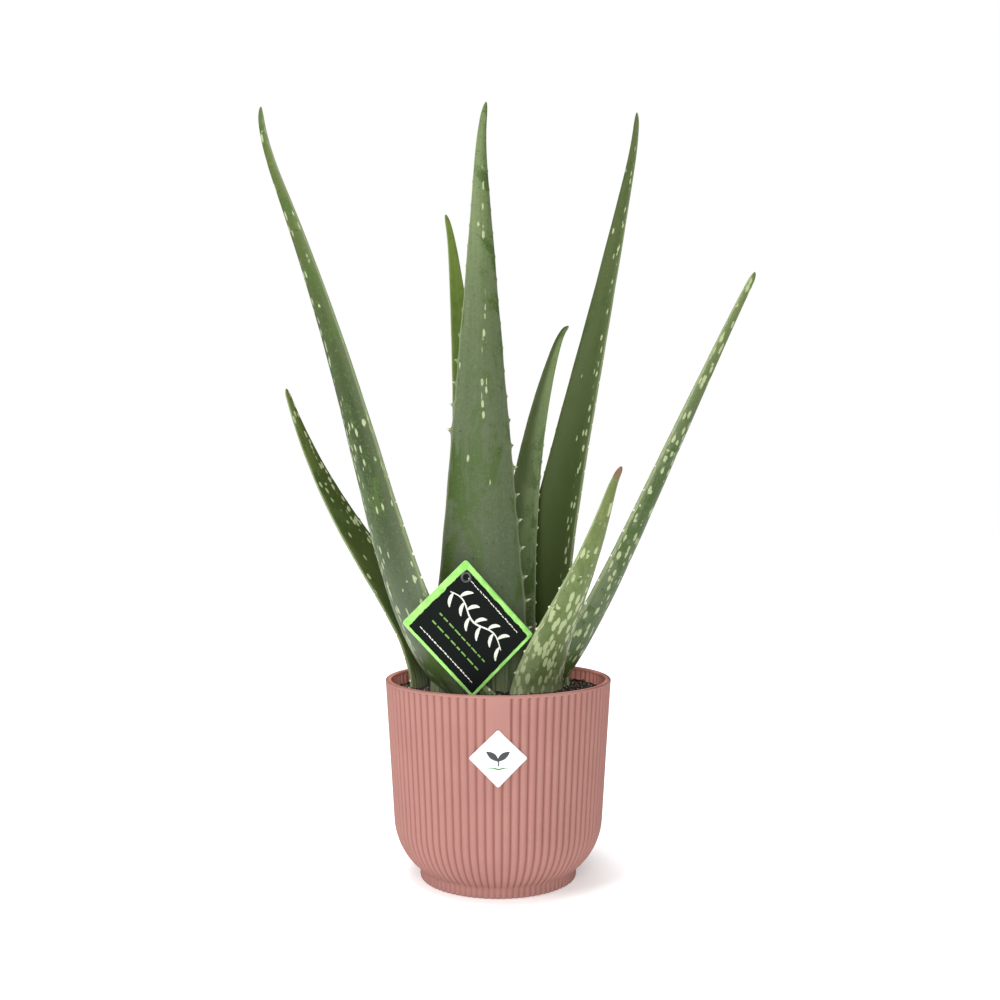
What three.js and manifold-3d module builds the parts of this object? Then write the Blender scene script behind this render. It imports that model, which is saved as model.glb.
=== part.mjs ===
// A potted aloe. A ribbed plastic pot is filled with soil, in which a short stem with roots carries eight
// leaves. A printed plant label stands in the soil and a diamond sticker is stuck on the pot's front.
// Millimetres, +Z up. The origin is the centre of the pot's underside, and -Y is the front.
import * as THREE from "three";
import { mergeVertices } from "three/addons/utils/BufferGeometryUtils.js";
import Module from "manifold-3d";

const wasm = await Module();
wasm.setup();

// ---- Driving dimensions ----
const CLEARANCE = 0.3; // between pieces that touch

const pot = {
  rimRadius: 70,
  height: 122,
  wall: 3.6,
  floor: 4,
  shoulderHeight: 36, // where the straight wall turns into the bowl
  shoulderInset: 5.4, // the wall's taper, from rim to shoulder
  bowlRadius: 40,
  footRadius: 48.5,
  footHeight: 7.5,
  neckInset: 1.2, // the waist between foot and bowl
  edge: 0.9, // bevel of the foot's lower edge
  ribs: 84,
  ribDepth: 1,
  lip: 1.4, // the plain band over the ribs
  panelRibs: 3, // the smooth panel in front takes the place of these ribs
  panelHeight: 46,
};

const soil = {
  belowRim: 8,
  mound: 4, // how much higher the middle is than the edge
  segments: 40,
};

const stem = {
  radius: 7.5,
  topDepth: 6, // below the soil's edge
  tail: 20, // below the deepest leaf
};

const roots = {
  count: 5,
  radius: 2.4,
  tipRadius: 0.9,
  spread: 30, // how far out the tips are
  aboveFloor: 15, // how far over the pot's floor the tips are
};

const crownGap = 18; // from the pot's mouth in to the foot of a leaf with a reach of 1

const leafShape = {
  tipWidth: 4,
  tipThickness: 3,
  widthPower: 1.08, // 1 is a straight taper; more keeps the tip slimmer
  thicknessPower: 0.9,
  footPower: 6, // how soon above the foot the middle's lean takes over
  hookStart: 0.86, // the share of the length where the hook starts
  roundStart: 0.95, // and where the tip starts to round off
  outerBulge: 0.78, // the share of the thickness on the outer face's side
  innerBulge: 0.22,
  innerHollow: 0.1,
  neckWidth: 0.22, // the share of the width and of the thickness at the stem
  neckThickness: 0.5,
  sides: 12,
  steps: 13,
  buriedSteps: 3,
};

// Each leaf stands in the soil at `reach`, a share of the crown's radius, in the direction `bearing`, and
// leans towards `azimuth`, which turns by `swing` up to the tip. Its lean from the vertical runs from foot
// through middle to top, and `hook` adds to it in the tip. `roll` turns its face about its own length, and
// `joins` is how deep it meets the stem. Degrees and millimetres. The first leaf is the innermost, and
// each later one is shaped round those before it.
const leaves = [
  {
    name: "young_leaf",
    ...{ reach: 0.29, bearing: 59, azimuth: 66, swing: 0, lean: [7, -2, 44], hook: 27, roll: 7 },
    ...{ length: 274, width: 35, thickness: 9, joins: 14 },
  },
  {
    name: "front_tall_leaf",
    ...{ reach: 0.38, bearing: 236, azimuth: 269, swing: 25, lean: [16, 4, -2], hook: 36, roll: 0 },
    ...{ length: 356, width: 63, thickness: 15, joins: 18 },
  },
  {
    name: "back_left_leaf",
    ...{ reach: 0.32, bearing: 112, azimuth: 115, swing: 0, lean: [11, 7, 16], hook: 19, roll: 0 },
    ...{ length: 326, width: 50, thickness: 12, joins: 20 },
  },
  {
    name: "right_tall_leaf",
    ...{ reach: 0.61, bearing: 29, azimuth: 39, swing: 0, lean: [-5, 19, 15], hook: -12, roll: 12 },
    ...{ length: 396, width: 48, thickness: 13, joins: 24 },
  },
  {
    name: "front_right_leaf",
    ...{ reach: 0.61, bearing: 320, azimuth: 307, swing: 0, lean: [6, 45, 22], hook: 24, roll: 0 },
    ...{ length: 158, width: 41, thickness: 12, joins: 27 },
  },
  {
    name: "left_tall_leaf",
    ...{ reach: 0.45, bearing: 228, azimuth: 211, swing: 0, lean: [54, 8, 25], hook: -23, roll: 6 },
    ...{ length: 365, width: 53, thickness: 13.5, joins: 32 },
  },
  {
    name: "right_outer_leaf",
    ...{ reach: 0.5, bearing: 9, azimuth: 346, swing: 0, lean: [42, 24, 26], hook: 3, roll: -15 },
    ...{ length: 289, width: 30, thickness: 13.5, joins: 40 },
  },
  {
    name: "left_short_leaf",
    ...{ reach: 0.84, bearing: 165, azimuth: 159, swing: 0, lean: [2, 54, 20], hook: 0, roll: -25 },
    ...{ length: 224, width: 42, thickness: 11, joins: 46 },
  },
];

const label = {
  width: 62,
  height: 52,
  thickness: 0.8,
  turn: 47, // how far it is turned clockwise, as seen from the front
  bearing: 251.6,
  beforeLeaf: 34.8, // from the front leaf's foot out to the card's middle
  aboveSoil: 43.8, // from the soil up to the card's middle
  yaw: 20, // the left corner comes forward
  pitch: -1, // the upper corner goes back
  spike: [9, 24], // width and length of the point in the soil
};

const sticker = { side: 23.6, thickness: 0.4, belowRim: 35.7, cells: 6 };

// ---- Sizes that follow ----
const radians = THREE.MathUtils.degToRad;
const mouthRadius = pot.rimRadius - pot.wall;
const soilLevel = pot.height - soil.belowRim;
const crownRadius = mouthRadius - crownGap;
const labelRadius = leaves[1].reach * crownRadius + label.beforeLeaf;
const stemTop = soilLevel - stem.topDepth;
const stemFoot = soilLevel - Math.max(...leaves.map((leaf) => leaf.joins)) - stem.tail;

const colours = {
  pot: 0xc98e83,
  soil: 0x2a1d17,
  leaf: 0x6b7f5c,
  youngLeaf: 0x6f8f45,
  stem: 0x8a8f5a,
  root: 0xb59a72,
  label: 0x16141c,
  sticker: 0xf7f7f5,
};

const finish = (color, roughness) => new THREE.MeshStandardMaterial({ color, roughness, metalness: 0 });

// ---- Solids ----
function solidOf(geometry) {
  const bare = geometry.index ? geometry.toNonIndexed() : geometry.clone();
  bare.deleteAttribute("normal");
  bare.deleteAttribute("uv");
  const merged = mergeVertices(bare, 1e-4);
  return new wasm.Manifold(
    new wasm.Mesh({
      numProp: 3,
      vertProperties: merged.attributes.position.array,
      triVerts: new Uint32Array(merged.index.array),
    }),
  );
}

function geometryOf(solid) {
  const mesh = solid.getMesh();
  const geometry = new THREE.BufferGeometry();
  geometry.setAttribute("position", new THREE.BufferAttribute(mesh.vertProperties, 3));
  geometry.setIndex(new THREE.BufferAttribute(mesh.triVerts, 1));
  geometry.computeVertexNormals();
  return geometry;
}

// A closed skin over rings of points, all with as many points, that run counterclockwise about the way on.
function loft(rings) {
  const sides = rings[0].length;
  const positions = rings.flat().flatMap((p) => [p.x, p.y, p.z]);
  const indices = [];
  for (let ring = 0; ring < rings.length - 1; ring++) {
    for (let side = 0; side < sides; side++) {
      const a = ring * sides + side;
      const b = ring * sides + ((side + 1) % sides);
      indices.push(a, b, b + sides, a, b + sides, a + sides);
    }
  }
  for (const [ring, first] of [[rings[0], 0], [rings.at(-1), (rings.length - 1) * sides]]) {
    const middle = ring.reduce((sum, p) => sum.add(p), new THREE.Vector3()).divideScalar(sides);
    const hub = positions.length / 3;
    positions.push(middle.x, middle.y, middle.z);
    for (let side = 0; side < sides; side++) {
      const a = first + side;
      const b = first + ((side + 1) % sides);
      indices.push(...(first === 0 ? [hub, b, a] : [hub, a, b]));
    }
  }
  const geometry = new THREE.BufferGeometry();
  geometry.setAttribute("position", new THREE.Float32BufferAttribute(positions, 3));
  geometry.setIndex(indices);
  return geometry;
}

// A profile of [radius, height] pairs turned about the Z axis, with its first segment in front.
function turned(profile, segments) {
  const points = profile.map(([r, z]) => new THREE.Vector2(r, z));
  return new THREE.LatheGeometry(points, segments).rotateX(Math.PI / 2);
}

const onCircle = (radius, degrees, z) =>
  new THREE.Vector3(radius * Math.cos(radians(degrees)), radius * Math.sin(radians(degrees)), z);

// ---- Pot ----
// The bowl's arc and the straight wall above it, from `lowest` up to the rim, moved in by `inset`.
function wallOutline(inset, lowest) {
  const steps = 4;
  const slope = Math.atan2(pot.shoulderInset, pot.height - pot.shoulderHeight);
  const centreRadius = pot.rimRadius - pot.shoulderInset - pot.bowlRadius * Math.cos(slope);
  const centreHeight = pot.shoulderHeight + pot.bowlRadius * Math.sin(slope);
  const radius = pot.bowlRadius - inset;
  const start = Math.asin(Math.min(1, (centreHeight - lowest) / radius));
  const arc = Array.from({ length: steps + 1 }, (_, i) => {
    const angle = THREE.MathUtils.lerp(start, slope, i / steps);
    return [centreRadius + radius * Math.cos(angle), centreHeight - radius * Math.sin(angle)];
  });
  return [...arc, [pot.rimRadius - inset / Math.cos(slope), pot.height]];
}

// The radius of the outer wall at a height on its straight part.
function outerRadiusAt(z) {
  const share = (pot.height - z) / (pot.height - pot.shoulderHeight);
  return pot.rimRadius - pot.shoulderInset * share;
}

function potGeometry() {
  const outer = wallOutline(0, pot.footHeight);
  const inner = wallOutline(pot.wall, pot.floor);
  const panelFoot = pot.height - pot.panelHeight;
  const lipFoot = pot.height - pot.lip;
  const rim = outer.pop();
  const ribbedTop = [panelFoot - 1, panelFoot, lipFoot - 1].map((z) => [outerRadiusAt(z), z]);
  const ribbed = [...outer, ...ribbedTop];
  const profile = [
    [0, 0],
    [pot.footRadius - pot.edge, 0],
    [pot.footRadius, pot.edge],
    [pot.footRadius - pot.neckInset, pot.footHeight - 1.5],
    ...ribbed,
    [outerRadiusAt(lipFoot), lipFoot],
    [rim[0], rim[1] - pot.edge],
    [rim[0] - pot.edge, rim[1]],
    [mouthRadius + pot.edge, pot.height],
    ...inner.reverse().map(([r, z]) => [r, Math.min(z, pot.height - pot.edge)]),
    [0, inner.at(-1)[1]],
  ];
  const segments = pot.ribs * 2;
  const geometry = turned(profile, segments);
  const position = geometry.attributes.position;
  const firstRib = profile.indexOf(ribbed[0]);
  const lastRib = profile.indexOf(ribbed.at(-1));
  // LatheGeometry stores one column of the profile after another. Each second column is a groove.
  for (let column = 1; column < segments; column += 2) {
    const fromFront = Math.min(column, segments - column) / 2;
    for (let row = firstRib; row <= lastRib; row++) {
      const [radius, height] = profile[row];
      const onPanel = fromFront < pot.panelRibs / 2 && height >= panelFoot;
      if (onPanel) continue;
      const i = column * profile.length + row;
      const scale = (radius - pot.ribDepth) / radius;
      position.setXY(i, position.getX(i) * scale, position.getY(i) * scale);
    }
  }
  return geometry;
}

// ---- Leaves ----
// The directions along a leaf, across it and out of its inner face, leaning `lean` degrees to `azimuth`.
function leafFrame(lean, azimuth, roll) {
  const along = onCircle(Math.sin(radians(lean)), azimuth, Math.cos(radians(lean)));
  const across = onCircle(1, azimuth + 90, 0).applyAxisAngle(along, radians(roll));
  const inward = new THREE.Vector3().crossVectors(along, across);
  return { along, across, inward };
}

// How far a leaf leans from the vertical at a share of its length.
function leanAt(leaf, share) {
  const [foot, middle, top] = leaf.lean;
  const { footPower, hookStart } = leafShape;
  const hooked = Math.max(0, (share - hookStart) / (1 - hookStart)) ** 2;
  const bent = (foot - middle) * (1 - share) ** footPower + (top - middle) * share;
  return middle + bent + leaf.hook * hooked;
}

function leafFrameAt(leaf, share) {
  return leafFrame(leanAt(leaf, share), leaf.azimuth + leaf.swing * share ** 2, leaf.roll);
}

// The leaf's part in the soil, which curves from the stem to the foot and grows wider on the way.
function buriedSections(leaf, foot) {
  const steps = leafShape.buriedSteps;
  const start = onCircle(stem.radius + CLEARANCE, leaf.bearing, foot.z - leaf.joins);
  const bend = foot.clone().addScaledVector(leafFrameAt(leaf, 0).along, -leaf.joins / 2);
  const route = new THREE.QuadraticBezierCurve3(start, bend, foot);
  return Array.from({ length: steps }, (_, i) => {
    const share = i / steps;
    const along = route.getTangent(share);
    const sideways = onCircle(1, leaf.azimuth + 90, 0);
    const inward = new THREE.Vector3().crossVectors(along, sideways).normalize();
    const across = new THREE.Vector3().crossVectors(inward, along);
    const width = leaf.width * THREE.MathUtils.lerp(leafShape.neckWidth, 1, share);
    const thickness = leaf.thickness * THREE.MathUtils.lerp(leafShape.neckThickness, 1, share);
    return { point: route.getPoint(share), along, across, inward, width, thickness };
  });
}

// Sections from the stem up to the tip: a point, the frame there, and the width and thickness.
function leafSections(leaf) {
  const { steps, roundStart, tipWidth, tipThickness, widthPower, thicknessPower } = leafShape;
  const foot = onCircle(leaf.reach * crownRadius, leaf.bearing, soilLevel);
  const sections = buriedSections(leaf, foot);
  const crowding = 1.15; // the sections stand closer together towards the tip
  const shares = Array.from({ length: steps + 1 }, (_, i) => 1 - (1 - i / steps) ** crowding);
  const point = foot.clone();
  shares.forEach((share, i) => {
    if (i > 0) {
      const before = shares[i - 1];
      const { along } = leafFrameAt(leaf, (before + share) / 2);
      point.addScaledVector(along, leaf.length * (share - before));
    }
    const intoTip = Math.max(0, (share - roundStart) / (1 - roundStart));
    const rounded = Math.sqrt(Math.max(0.02, 1 - intoTip ** 2));
    const taper = (size, tip, power) => (tip + (size - tip) * (1 - share) ** power) * rounded;
    sections.push({
      point: point.clone(),
      ...leafFrameAt(leaf, share),
      width: taper(leaf.width, tipWidth, widthPower),
      thickness: taper(leaf.thickness, tipThickness, thicknessPower),
    });
  });
  return sections;
}

// A leaf's section is convex outside, and flat or a little hollow inside. `grow` makes it larger all round.
function leafGeometry(leaf, grow = 0) {
  const { sides, outerBulge, innerBulge, innerHollow } = leafShape;
  const sections = leafSections(leaf);
  const rings = sections.map(({ point, across, inward, along, width, thickness }, index) => {
    const shift = index === 0 ? -grow : index === sections.length - 1 ? grow : 0;
    return Array.from({ length: sides }, (_, i) => {
      const angle = (i / sides) * 2 * Math.PI;
      const u = Math.cos(angle);
      const rise = Math.abs(Math.sin(angle));
      const outer = -outerBulge * thickness * rise ** 1.2;
      const inner = thickness * (innerBulge * rise - innerHollow * rise ** 3);
      const v = (Math.sin(angle) < 0 ? outer : inner) + grow * Math.sin(angle);
      return point
        .clone()
        .addScaledVector(across, u * (width / 2 + grow))
        .addScaledVector(inward, v)
        .addScaledVector(along, shift);
    });
  });
  return loft(rings);
}

// ---- Stem and roots ----
function stemGeometry(grow = 0) {
  const radius = stem.radius + grow;
  return turned(
    [
      [0, stemFoot - grow],
      [radius - stem.radius * 0.4, stemFoot - grow],
      [radius, stemFoot + stem.radius],
      [radius, stemTop - stem.radius],
      [radius - stem.radius * 0.5, stemTop + grow],
      [0, stemTop + grow],
    ],
    16,
  );
}

// A root leaves the stem's lower end sideways, bends down and ends in a thin tip.
function rootGeometry(index, grow = 0) {
  const bearing = (index / roots.count) * 360 + 20;
  const height = stemFoot + stem.radius + 3 + (index % 2) * 6;
  const start = onCircle(stem.radius + CLEARANCE, bearing, height);
  const bend = onCircle(stem.radius + roots.spread * 0.75, bearing + 8, height - 6);
  const end = onCircle(roots.spread, bearing + 25, pot.floor + roots.aboveFloor);
  const route = new THREE.QuadraticBezierCurve3(start, bend, end);
  const steps = 5;
  const sides = 6;
  const rings = Array.from({ length: steps + 1 }, (_, i) => {
    const share = i / steps;
    const way = route.getTangent(share);
    const across = new THREE.Vector3().crossVectors(way, onCircle(1, bearing + 90, 0)).normalize();
    const other = new THREE.Vector3().crossVectors(way, across);
    const radius = THREE.MathUtils.lerp(roots.radius, roots.tipRadius, share) + grow;
    const shift = i === 0 ? -grow : i === steps ? grow : 0;
    return Array.from({ length: sides }, (_, side) => {
      const angle = (side / sides) * 2 * Math.PI;
      return route
        .getPoint(share)
        .addScaledVector(across, radius * Math.cos(angle))
        .addScaledVector(other, radius * Math.sin(angle))
        .addScaledVector(way, shift);
    });
  });
  return loft(rings);
}

// ---- Label and sticker ----
// A card turned on its corner, which runs out into a point that stands in the soil.
function labelGeometry(grow = 0) {
  const w = label.width / 2 + grow;
  const h = label.height / 2 + grow;
  const [spikeWidth, spikeLength] = label.spike;
  const down = radians(label.turn);
  const downWay = new THREE.Vector2(Math.sin(down), -Math.cos(down));
  const sideWay = new THREE.Vector2(Math.cos(down), Math.sin(down));
  const corner = new THREE.Vector2(label.width / 2, -label.height / 2);
  const half = spikeWidth / 2;
  const shoulder = (side) => {
    const edge = side > 0 ? new THREE.Vector2(0, 1) : new THREE.Vector2(-1, 0);
    const along = half / Math.abs(edge.dot(sideWay));
    return corner.clone().addScaledVector(edge, along).addScaledVector(sideWay, side * grow);
  };
  const point = corner.clone().addScaledVector(downWay, spikeLength + grow);
  const nearPoint = (side) => point.clone().addScaledVector(sideWay, side * (half * 0.25 + grow));
  const low = (side) => nearPoint(side).addScaledVector(downWay, -half);
  const outline = [
    new THREE.Vector2(-w, -h),
    shoulder(-1),
    low(-1).addScaledVector(sideWay, -half * 0.35),
    nearPoint(0),
    low(1).addScaledVector(sideWay, half * 0.35),
    shoulder(1),
    new THREE.Vector2(w, h),
    new THREE.Vector2(-w, h),
  ];
  const thickness = label.thickness + 2 * grow;
  const card = new THREE.ExtrudeGeometry(new THREE.Shape(outline), { depth: thickness, bevelEnabled: false });
  card.translate(0, 0, -thickness / 2);
  card.rotateZ(-radians(label.turn));
  card.rotateX(Math.PI / 2 - radians(label.pitch));
  card.rotateZ(radians(label.yaw));
  const centre = onCircle(labelRadius, label.bearing, soilLevel + label.aboveSoil);
  card.translate(centre.x, centre.y, centre.z);
  return card;
}

// A square on its corner, bent round the wall just in front of the ribs.
function stickerGeometry() {
  const { side, thickness, cells } = sticker;
  const height = pot.height - sticker.belowRim;
  const plate = new THREE.BoxGeometry(side, thickness, side, cells, 1, cells).rotateY(Math.PI / 4);
  const position = plate.attributes.position;
  for (let i = 0; i < position.count; i++) {
    const z = height + position.getZ(i);
    const radius = outerRadiusAt(z) + CLEARANCE + thickness / 2 - position.getY(i);
    const angle = position.getX(i) / outerRadiusAt(height);
    position.setXYZ(i, radius * Math.sin(angle), -radius * Math.cos(angle), z);
  }
  return plate;
}

// ---- Soil ----
function soilGeometry() {
  const side = wallOutline(pot.wall + CLEARANCE, pot.floor + CLEARANCE);
  side.pop();
  const edgeRadius = outerRadiusAt(soilLevel) - pot.wall - 2 * CLEARANCE;
  const top = [1, 0.75, 0.5, 0.25, 0].map((share) => [
    edgeRadius * share,
    soilLevel + soil.mound * (1 - share ** 2),
  ]);
  return turned([[0, side[0][1]], ...side, ...top], soil.segments);
}

// ---- Assembly ----
const plant = new THREE.Group();
const placed = []; // what is placed so far, each a little larger, for the later pieces to keep clear of

// Adds the piece that `shape` gives, cut clear of the pieces before it.
function add(name, shape, material) {
  const piece = placed.reduce((solid, other) => solid.subtract(other), solidOf(shape(0)));
  placed.push(solidOf(shape(CLEARANCE)).add(solidOf(shape(0))));
  const mesh = new THREE.Mesh(geometryOf(piece), material);
  mesh.name = name;
  plant.add(mesh);
}

add("stem", stemGeometry, finish(colours.stem, 0.8));
for (const leaf of leaves) {
  const colour = leaf.name === "young_leaf" ? colours.youngLeaf : colours.leaf;
  add(leaf.name, (grow) => leafGeometry(leaf, grow), finish(colour, 0.55));
}
for (let i = 0; i < roots.count; i++) {
  add(`root_${i + 1}`, (grow) => rootGeometry(i, grow), finish(colours.root, 0.85));
}
add("plant_label", labelGeometry, finish(colours.label, 0.35));
add("soil", soilGeometry, finish(colours.soil, 0.95));

for (const [name, geometry, material] of [
  ["cover_pot", potGeometry(), finish(colours.pot, 0.6)],
  ["pot_sticker", stickerGeometry(), finish(colours.sticker, 0.5)],
]) {
  const mesh = new THREE.Mesh(geometry, material);
  mesh.name = name;
  plant.add(mesh);
}

export default plant;
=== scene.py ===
"""A potted aloe: a ribbed pot of soil with eight toothed leaves, a printed label and a diamond sticker."""

import logging
import math
import random
from dataclasses import dataclass
from enum import Enum
from typing import Callable, Iterable, Sequence

import bmesh
import bpy
import numpy as np
from mathutils import Matrix, Vector, noise


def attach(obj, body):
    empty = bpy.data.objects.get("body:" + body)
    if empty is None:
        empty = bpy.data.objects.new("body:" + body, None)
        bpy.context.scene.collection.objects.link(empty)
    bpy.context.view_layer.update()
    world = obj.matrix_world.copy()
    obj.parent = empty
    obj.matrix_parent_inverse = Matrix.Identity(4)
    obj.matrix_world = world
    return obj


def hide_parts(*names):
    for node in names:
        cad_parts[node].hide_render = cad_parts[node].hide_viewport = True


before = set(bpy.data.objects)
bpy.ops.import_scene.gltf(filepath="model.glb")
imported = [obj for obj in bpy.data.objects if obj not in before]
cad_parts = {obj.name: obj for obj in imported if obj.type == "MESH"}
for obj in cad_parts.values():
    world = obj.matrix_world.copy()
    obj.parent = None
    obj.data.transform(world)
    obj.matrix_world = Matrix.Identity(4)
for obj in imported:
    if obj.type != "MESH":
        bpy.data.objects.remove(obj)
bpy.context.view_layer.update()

log = logging.getLogger("aloe")

MM = 0.001
BODY = "root"
CROWN_INSET = 18.0
LABEL_BEARING = 251.6
LABEL_REACH = 34.8
LABEL_RISE = 43.8
Colour = tuple[float, float, float]


# ---------------------------------------------------------------------------------------------------
# Shader building
# ---------------------------------------------------------------------------------------------------


class Num:
    """A number that runs through a node tree. Arithmetic on it adds Math nodes."""

    def __init__(self, paint: "Paint", socket: bpy.types.NodeSocket) -> None:
        """Wraps a socket.

        Args:
            paint: the material whose tree the socket is in.
            socket: the output socket that carries the number.
        """
        self.paint = paint
        self.socket = socket

    def math(self, operation: str, first: "Num | float", second: "Num | float") -> "Num":
        """Adds one Math node.

        Args:
            operation: the node's operation.
            first: its first value.
            second: its second value.

        Returns:
            The node's result.
        """
        node = self.paint.node("ShaderNodeMath", {"operation": operation}, {0: first, 1: second})
        return Num(self.paint, node.outputs[0])

    def __add__(self, other: "Num | float") -> "Num":
        """The sum."""
        return self.math("ADD", self, other)

    def __radd__(self, other: float) -> "Num":
        """The sum, reflected."""
        return self.math("ADD", other, self)

    def __sub__(self, other: "Num | float") -> "Num":
        """The difference."""
        return self.math("SUBTRACT", self, other)

    def __rsub__(self, other: float) -> "Num":
        """The difference, reflected."""
        return self.math("SUBTRACT", other, self)

    def __mul__(self, other: "Num | float") -> "Num":
        """The product."""
        return self.math("MULTIPLY", self, other)

    def __lt__(self, other: "Num | float") -> "Num":
        """1 where this is the smaller, else 0."""
        return self.math("LESS_THAN", self, other)

    def most(self, other: "Num | float") -> "Num":
        """The larger of the two."""
        return self.math("MAXIMUM", self, other)

    def between(self, low: float, high: float) -> "Num":
        """A smooth step.

        Args:
            low: where the step is 0.
            high: where the step is 1. It may be the smaller of the two.

        Returns:
            A number from 0 to 1.
        """
        sockets = {"Value": self, "From Min": low, "From Max": high}
        node = self.paint.node("ShaderNodeMapRange", {"interpolation_type": "SMOOTHSTEP"}, sockets)
        return Num(self.paint, node.outputs[0])


Input = "Num | bpy.types.NodeSocket | float | Sequence[float]"


class Paint:
    """One material and the nodes that feed its Principled shader."""

    def __init__(self, name: str) -> None:
        """Starts a material with a bare Principled shader.

        Args:
            name: the material's name.
        """
        self.material = bpy.data.materials.new(name)
        self.material.use_nodes = True
        self.tree = self.material.node_tree
        self.shader = self.tree.nodes["Principled BSDF"]

    def node(self, kind: str, settings: dict | None = None, sockets: dict | None = None) -> bpy.types.Node:
        """Adds any node.

        Args:
            kind: the node's type.
            settings: its properties, which are set first.
            sockets: its inputs by name or number, each a link or a plain value.

        Returns:
            The new node.
        """
        made = self.tree.nodes.new(kind)
        for key, value in (settings or {}).items():
            setattr(made, key, value)
        for key, value in (sockets or {}).items():
            self.feed(made.inputs[key], value)
        return made

    def feed(self, socket: bpy.types.NodeSocket, value: Input) -> None:
        """Links or sets one input.

        Args:
            socket: the input.
            value: a link or a plain value.
        """
        if isinstance(value, Num):
            value = value.socket
        if isinstance(value, bpy.types.NodeSocket):
            self.tree.links.new(value, socket)
        elif isinstance(value, (tuple, list)) and socket.type == "RGBA":
            socket.default_value = (*value, 1.0)
        else:
            socket.default_value = value

    def finish(self, **sockets: Input) -> bpy.types.Material:
        """Feeds the shader.

        Args:
            sockets: the shader's inputs, with underscores for the spaces in their names.

        Returns:
            The finished material.
        """
        for key, value in sockets.items():
            self.feed(self.shader.inputs[key.replace("_", " ")], value)
        return self.material

    def attribute(self, name: str) -> Num:
        """A number stored on the mesh."""
        node = self.node("ShaderNodeAttribute", {"attribute_name": name})
        return Num(self, node.outputs["Fac"])

    def place(self, name: str) -> bpy.types.NodeSocket:
        """A vector stored on the mesh."""
        return self.node("ShaderNodeAttribute", {"attribute_name": name}).outputs["Vector"]

    def object_place(self) -> bpy.types.NodeSocket:
        """The point's place on the object, in metres."""
        return self.node("ShaderNodeTexCoord").outputs["Object"]

    def stretch(self, vector: bpy.types.NodeSocket, by: Sequence[float]) -> bpy.types.NodeSocket:
        """Multiplies a vector, axis by axis.

        Args:
            vector: the vector.
            by: the three factors.

        Returns:
            The stretched vector.
        """
        made = self.node("ShaderNodeVectorMath", {"operation": "MULTIPLY"}, {0: vector, 1: by})
        return made.outputs[0]

    def split(self, vector: bpy.types.NodeSocket) -> list[Num]:
        """The vector's three numbers."""
        parts = self.node("ShaderNodeSeparateXYZ", {}, {0: vector}).outputs
        return [Num(self, part) for part in parts]

    def noise(self, vector: bpy.types.NodeSocket, size: float, detail: float = 3.0,
              rough: float = 0.55, warp: float = 0.0) -> Num:
        """Cloudy noise about 0.5.

        Args:
            vector: where to read it.
            size: the width of its clouds in metres.
            detail: how many finer layers it has.
            rough: how strong the finer layers are.
            warp: how twisted it is.

        Returns:
            The noise.
        """
        sockets = {"Vector": vector, "Scale": 1 / size, "Detail": detail, "Roughness": rough,
                   "Distortion": warp}
        return Num(self, self.node("ShaderNodeTexNoise", {}, sockets).outputs[0])

    def cells(self, vector: bpy.types.NodeSocket, size: float) -> tuple[Num, Num]:
        """Scattered points.

        Args:
            vector: where to read them.
            size: their distance from each other in metres.

        Returns:
            The distance to the nearest point in cell widths, and a random number of that point's.
        """
        node = self.node("ShaderNodeTexVoronoi", {}, {"Vector": vector, "Scale": 1 / size})
        return Num(self, node.outputs["Distance"]), self.split(node.outputs["Color"])[0]

    def mix(self, amount: "Num | float", first: Input, second: Input) -> bpy.types.NodeSocket:
        """Mixes two colours.

        Args:
            amount: 0 for the first, 1 for the second.
            first: a colour.
            second: a colour.

        Returns:
            The mixed colour.
        """
        made = self.node("ShaderNodeMix", {"data_type": "RGBA"}, {0: amount, 6: first, 7: second})
        return made.outputs[2]

    def bump(self, height: Num, depth: float, strength: float) -> bpy.types.NodeSocket:
        """A normal for a relief.

        Args:
            height: the relief, 0 to 1.
            depth: its depth in metres.
            strength: how much of it shows.

        Returns:
            The normal.
        """
        sockets = {"Strength": strength, "Distance": depth, "Height": height}
        return self.node("ShaderNodeBump", {}, sockets).outputs[0]


# ---------------------------------------------------------------------------------------------------
# Finishes
# ---------------------------------------------------------------------------------------------------


@dataclass(frozen=True)
class Spots:
    """A leaf's pale spots: their share low and high on it, one denser line of them, and their size."""

    low: float = 0.05
    high: float = 0.08
    line: float = 0.0
    line_at: float = 0.0
    line_width: float = 0.2
    line_from: float = 0.4
    size: float = 0.0030
    radius: float = 0.34


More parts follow.
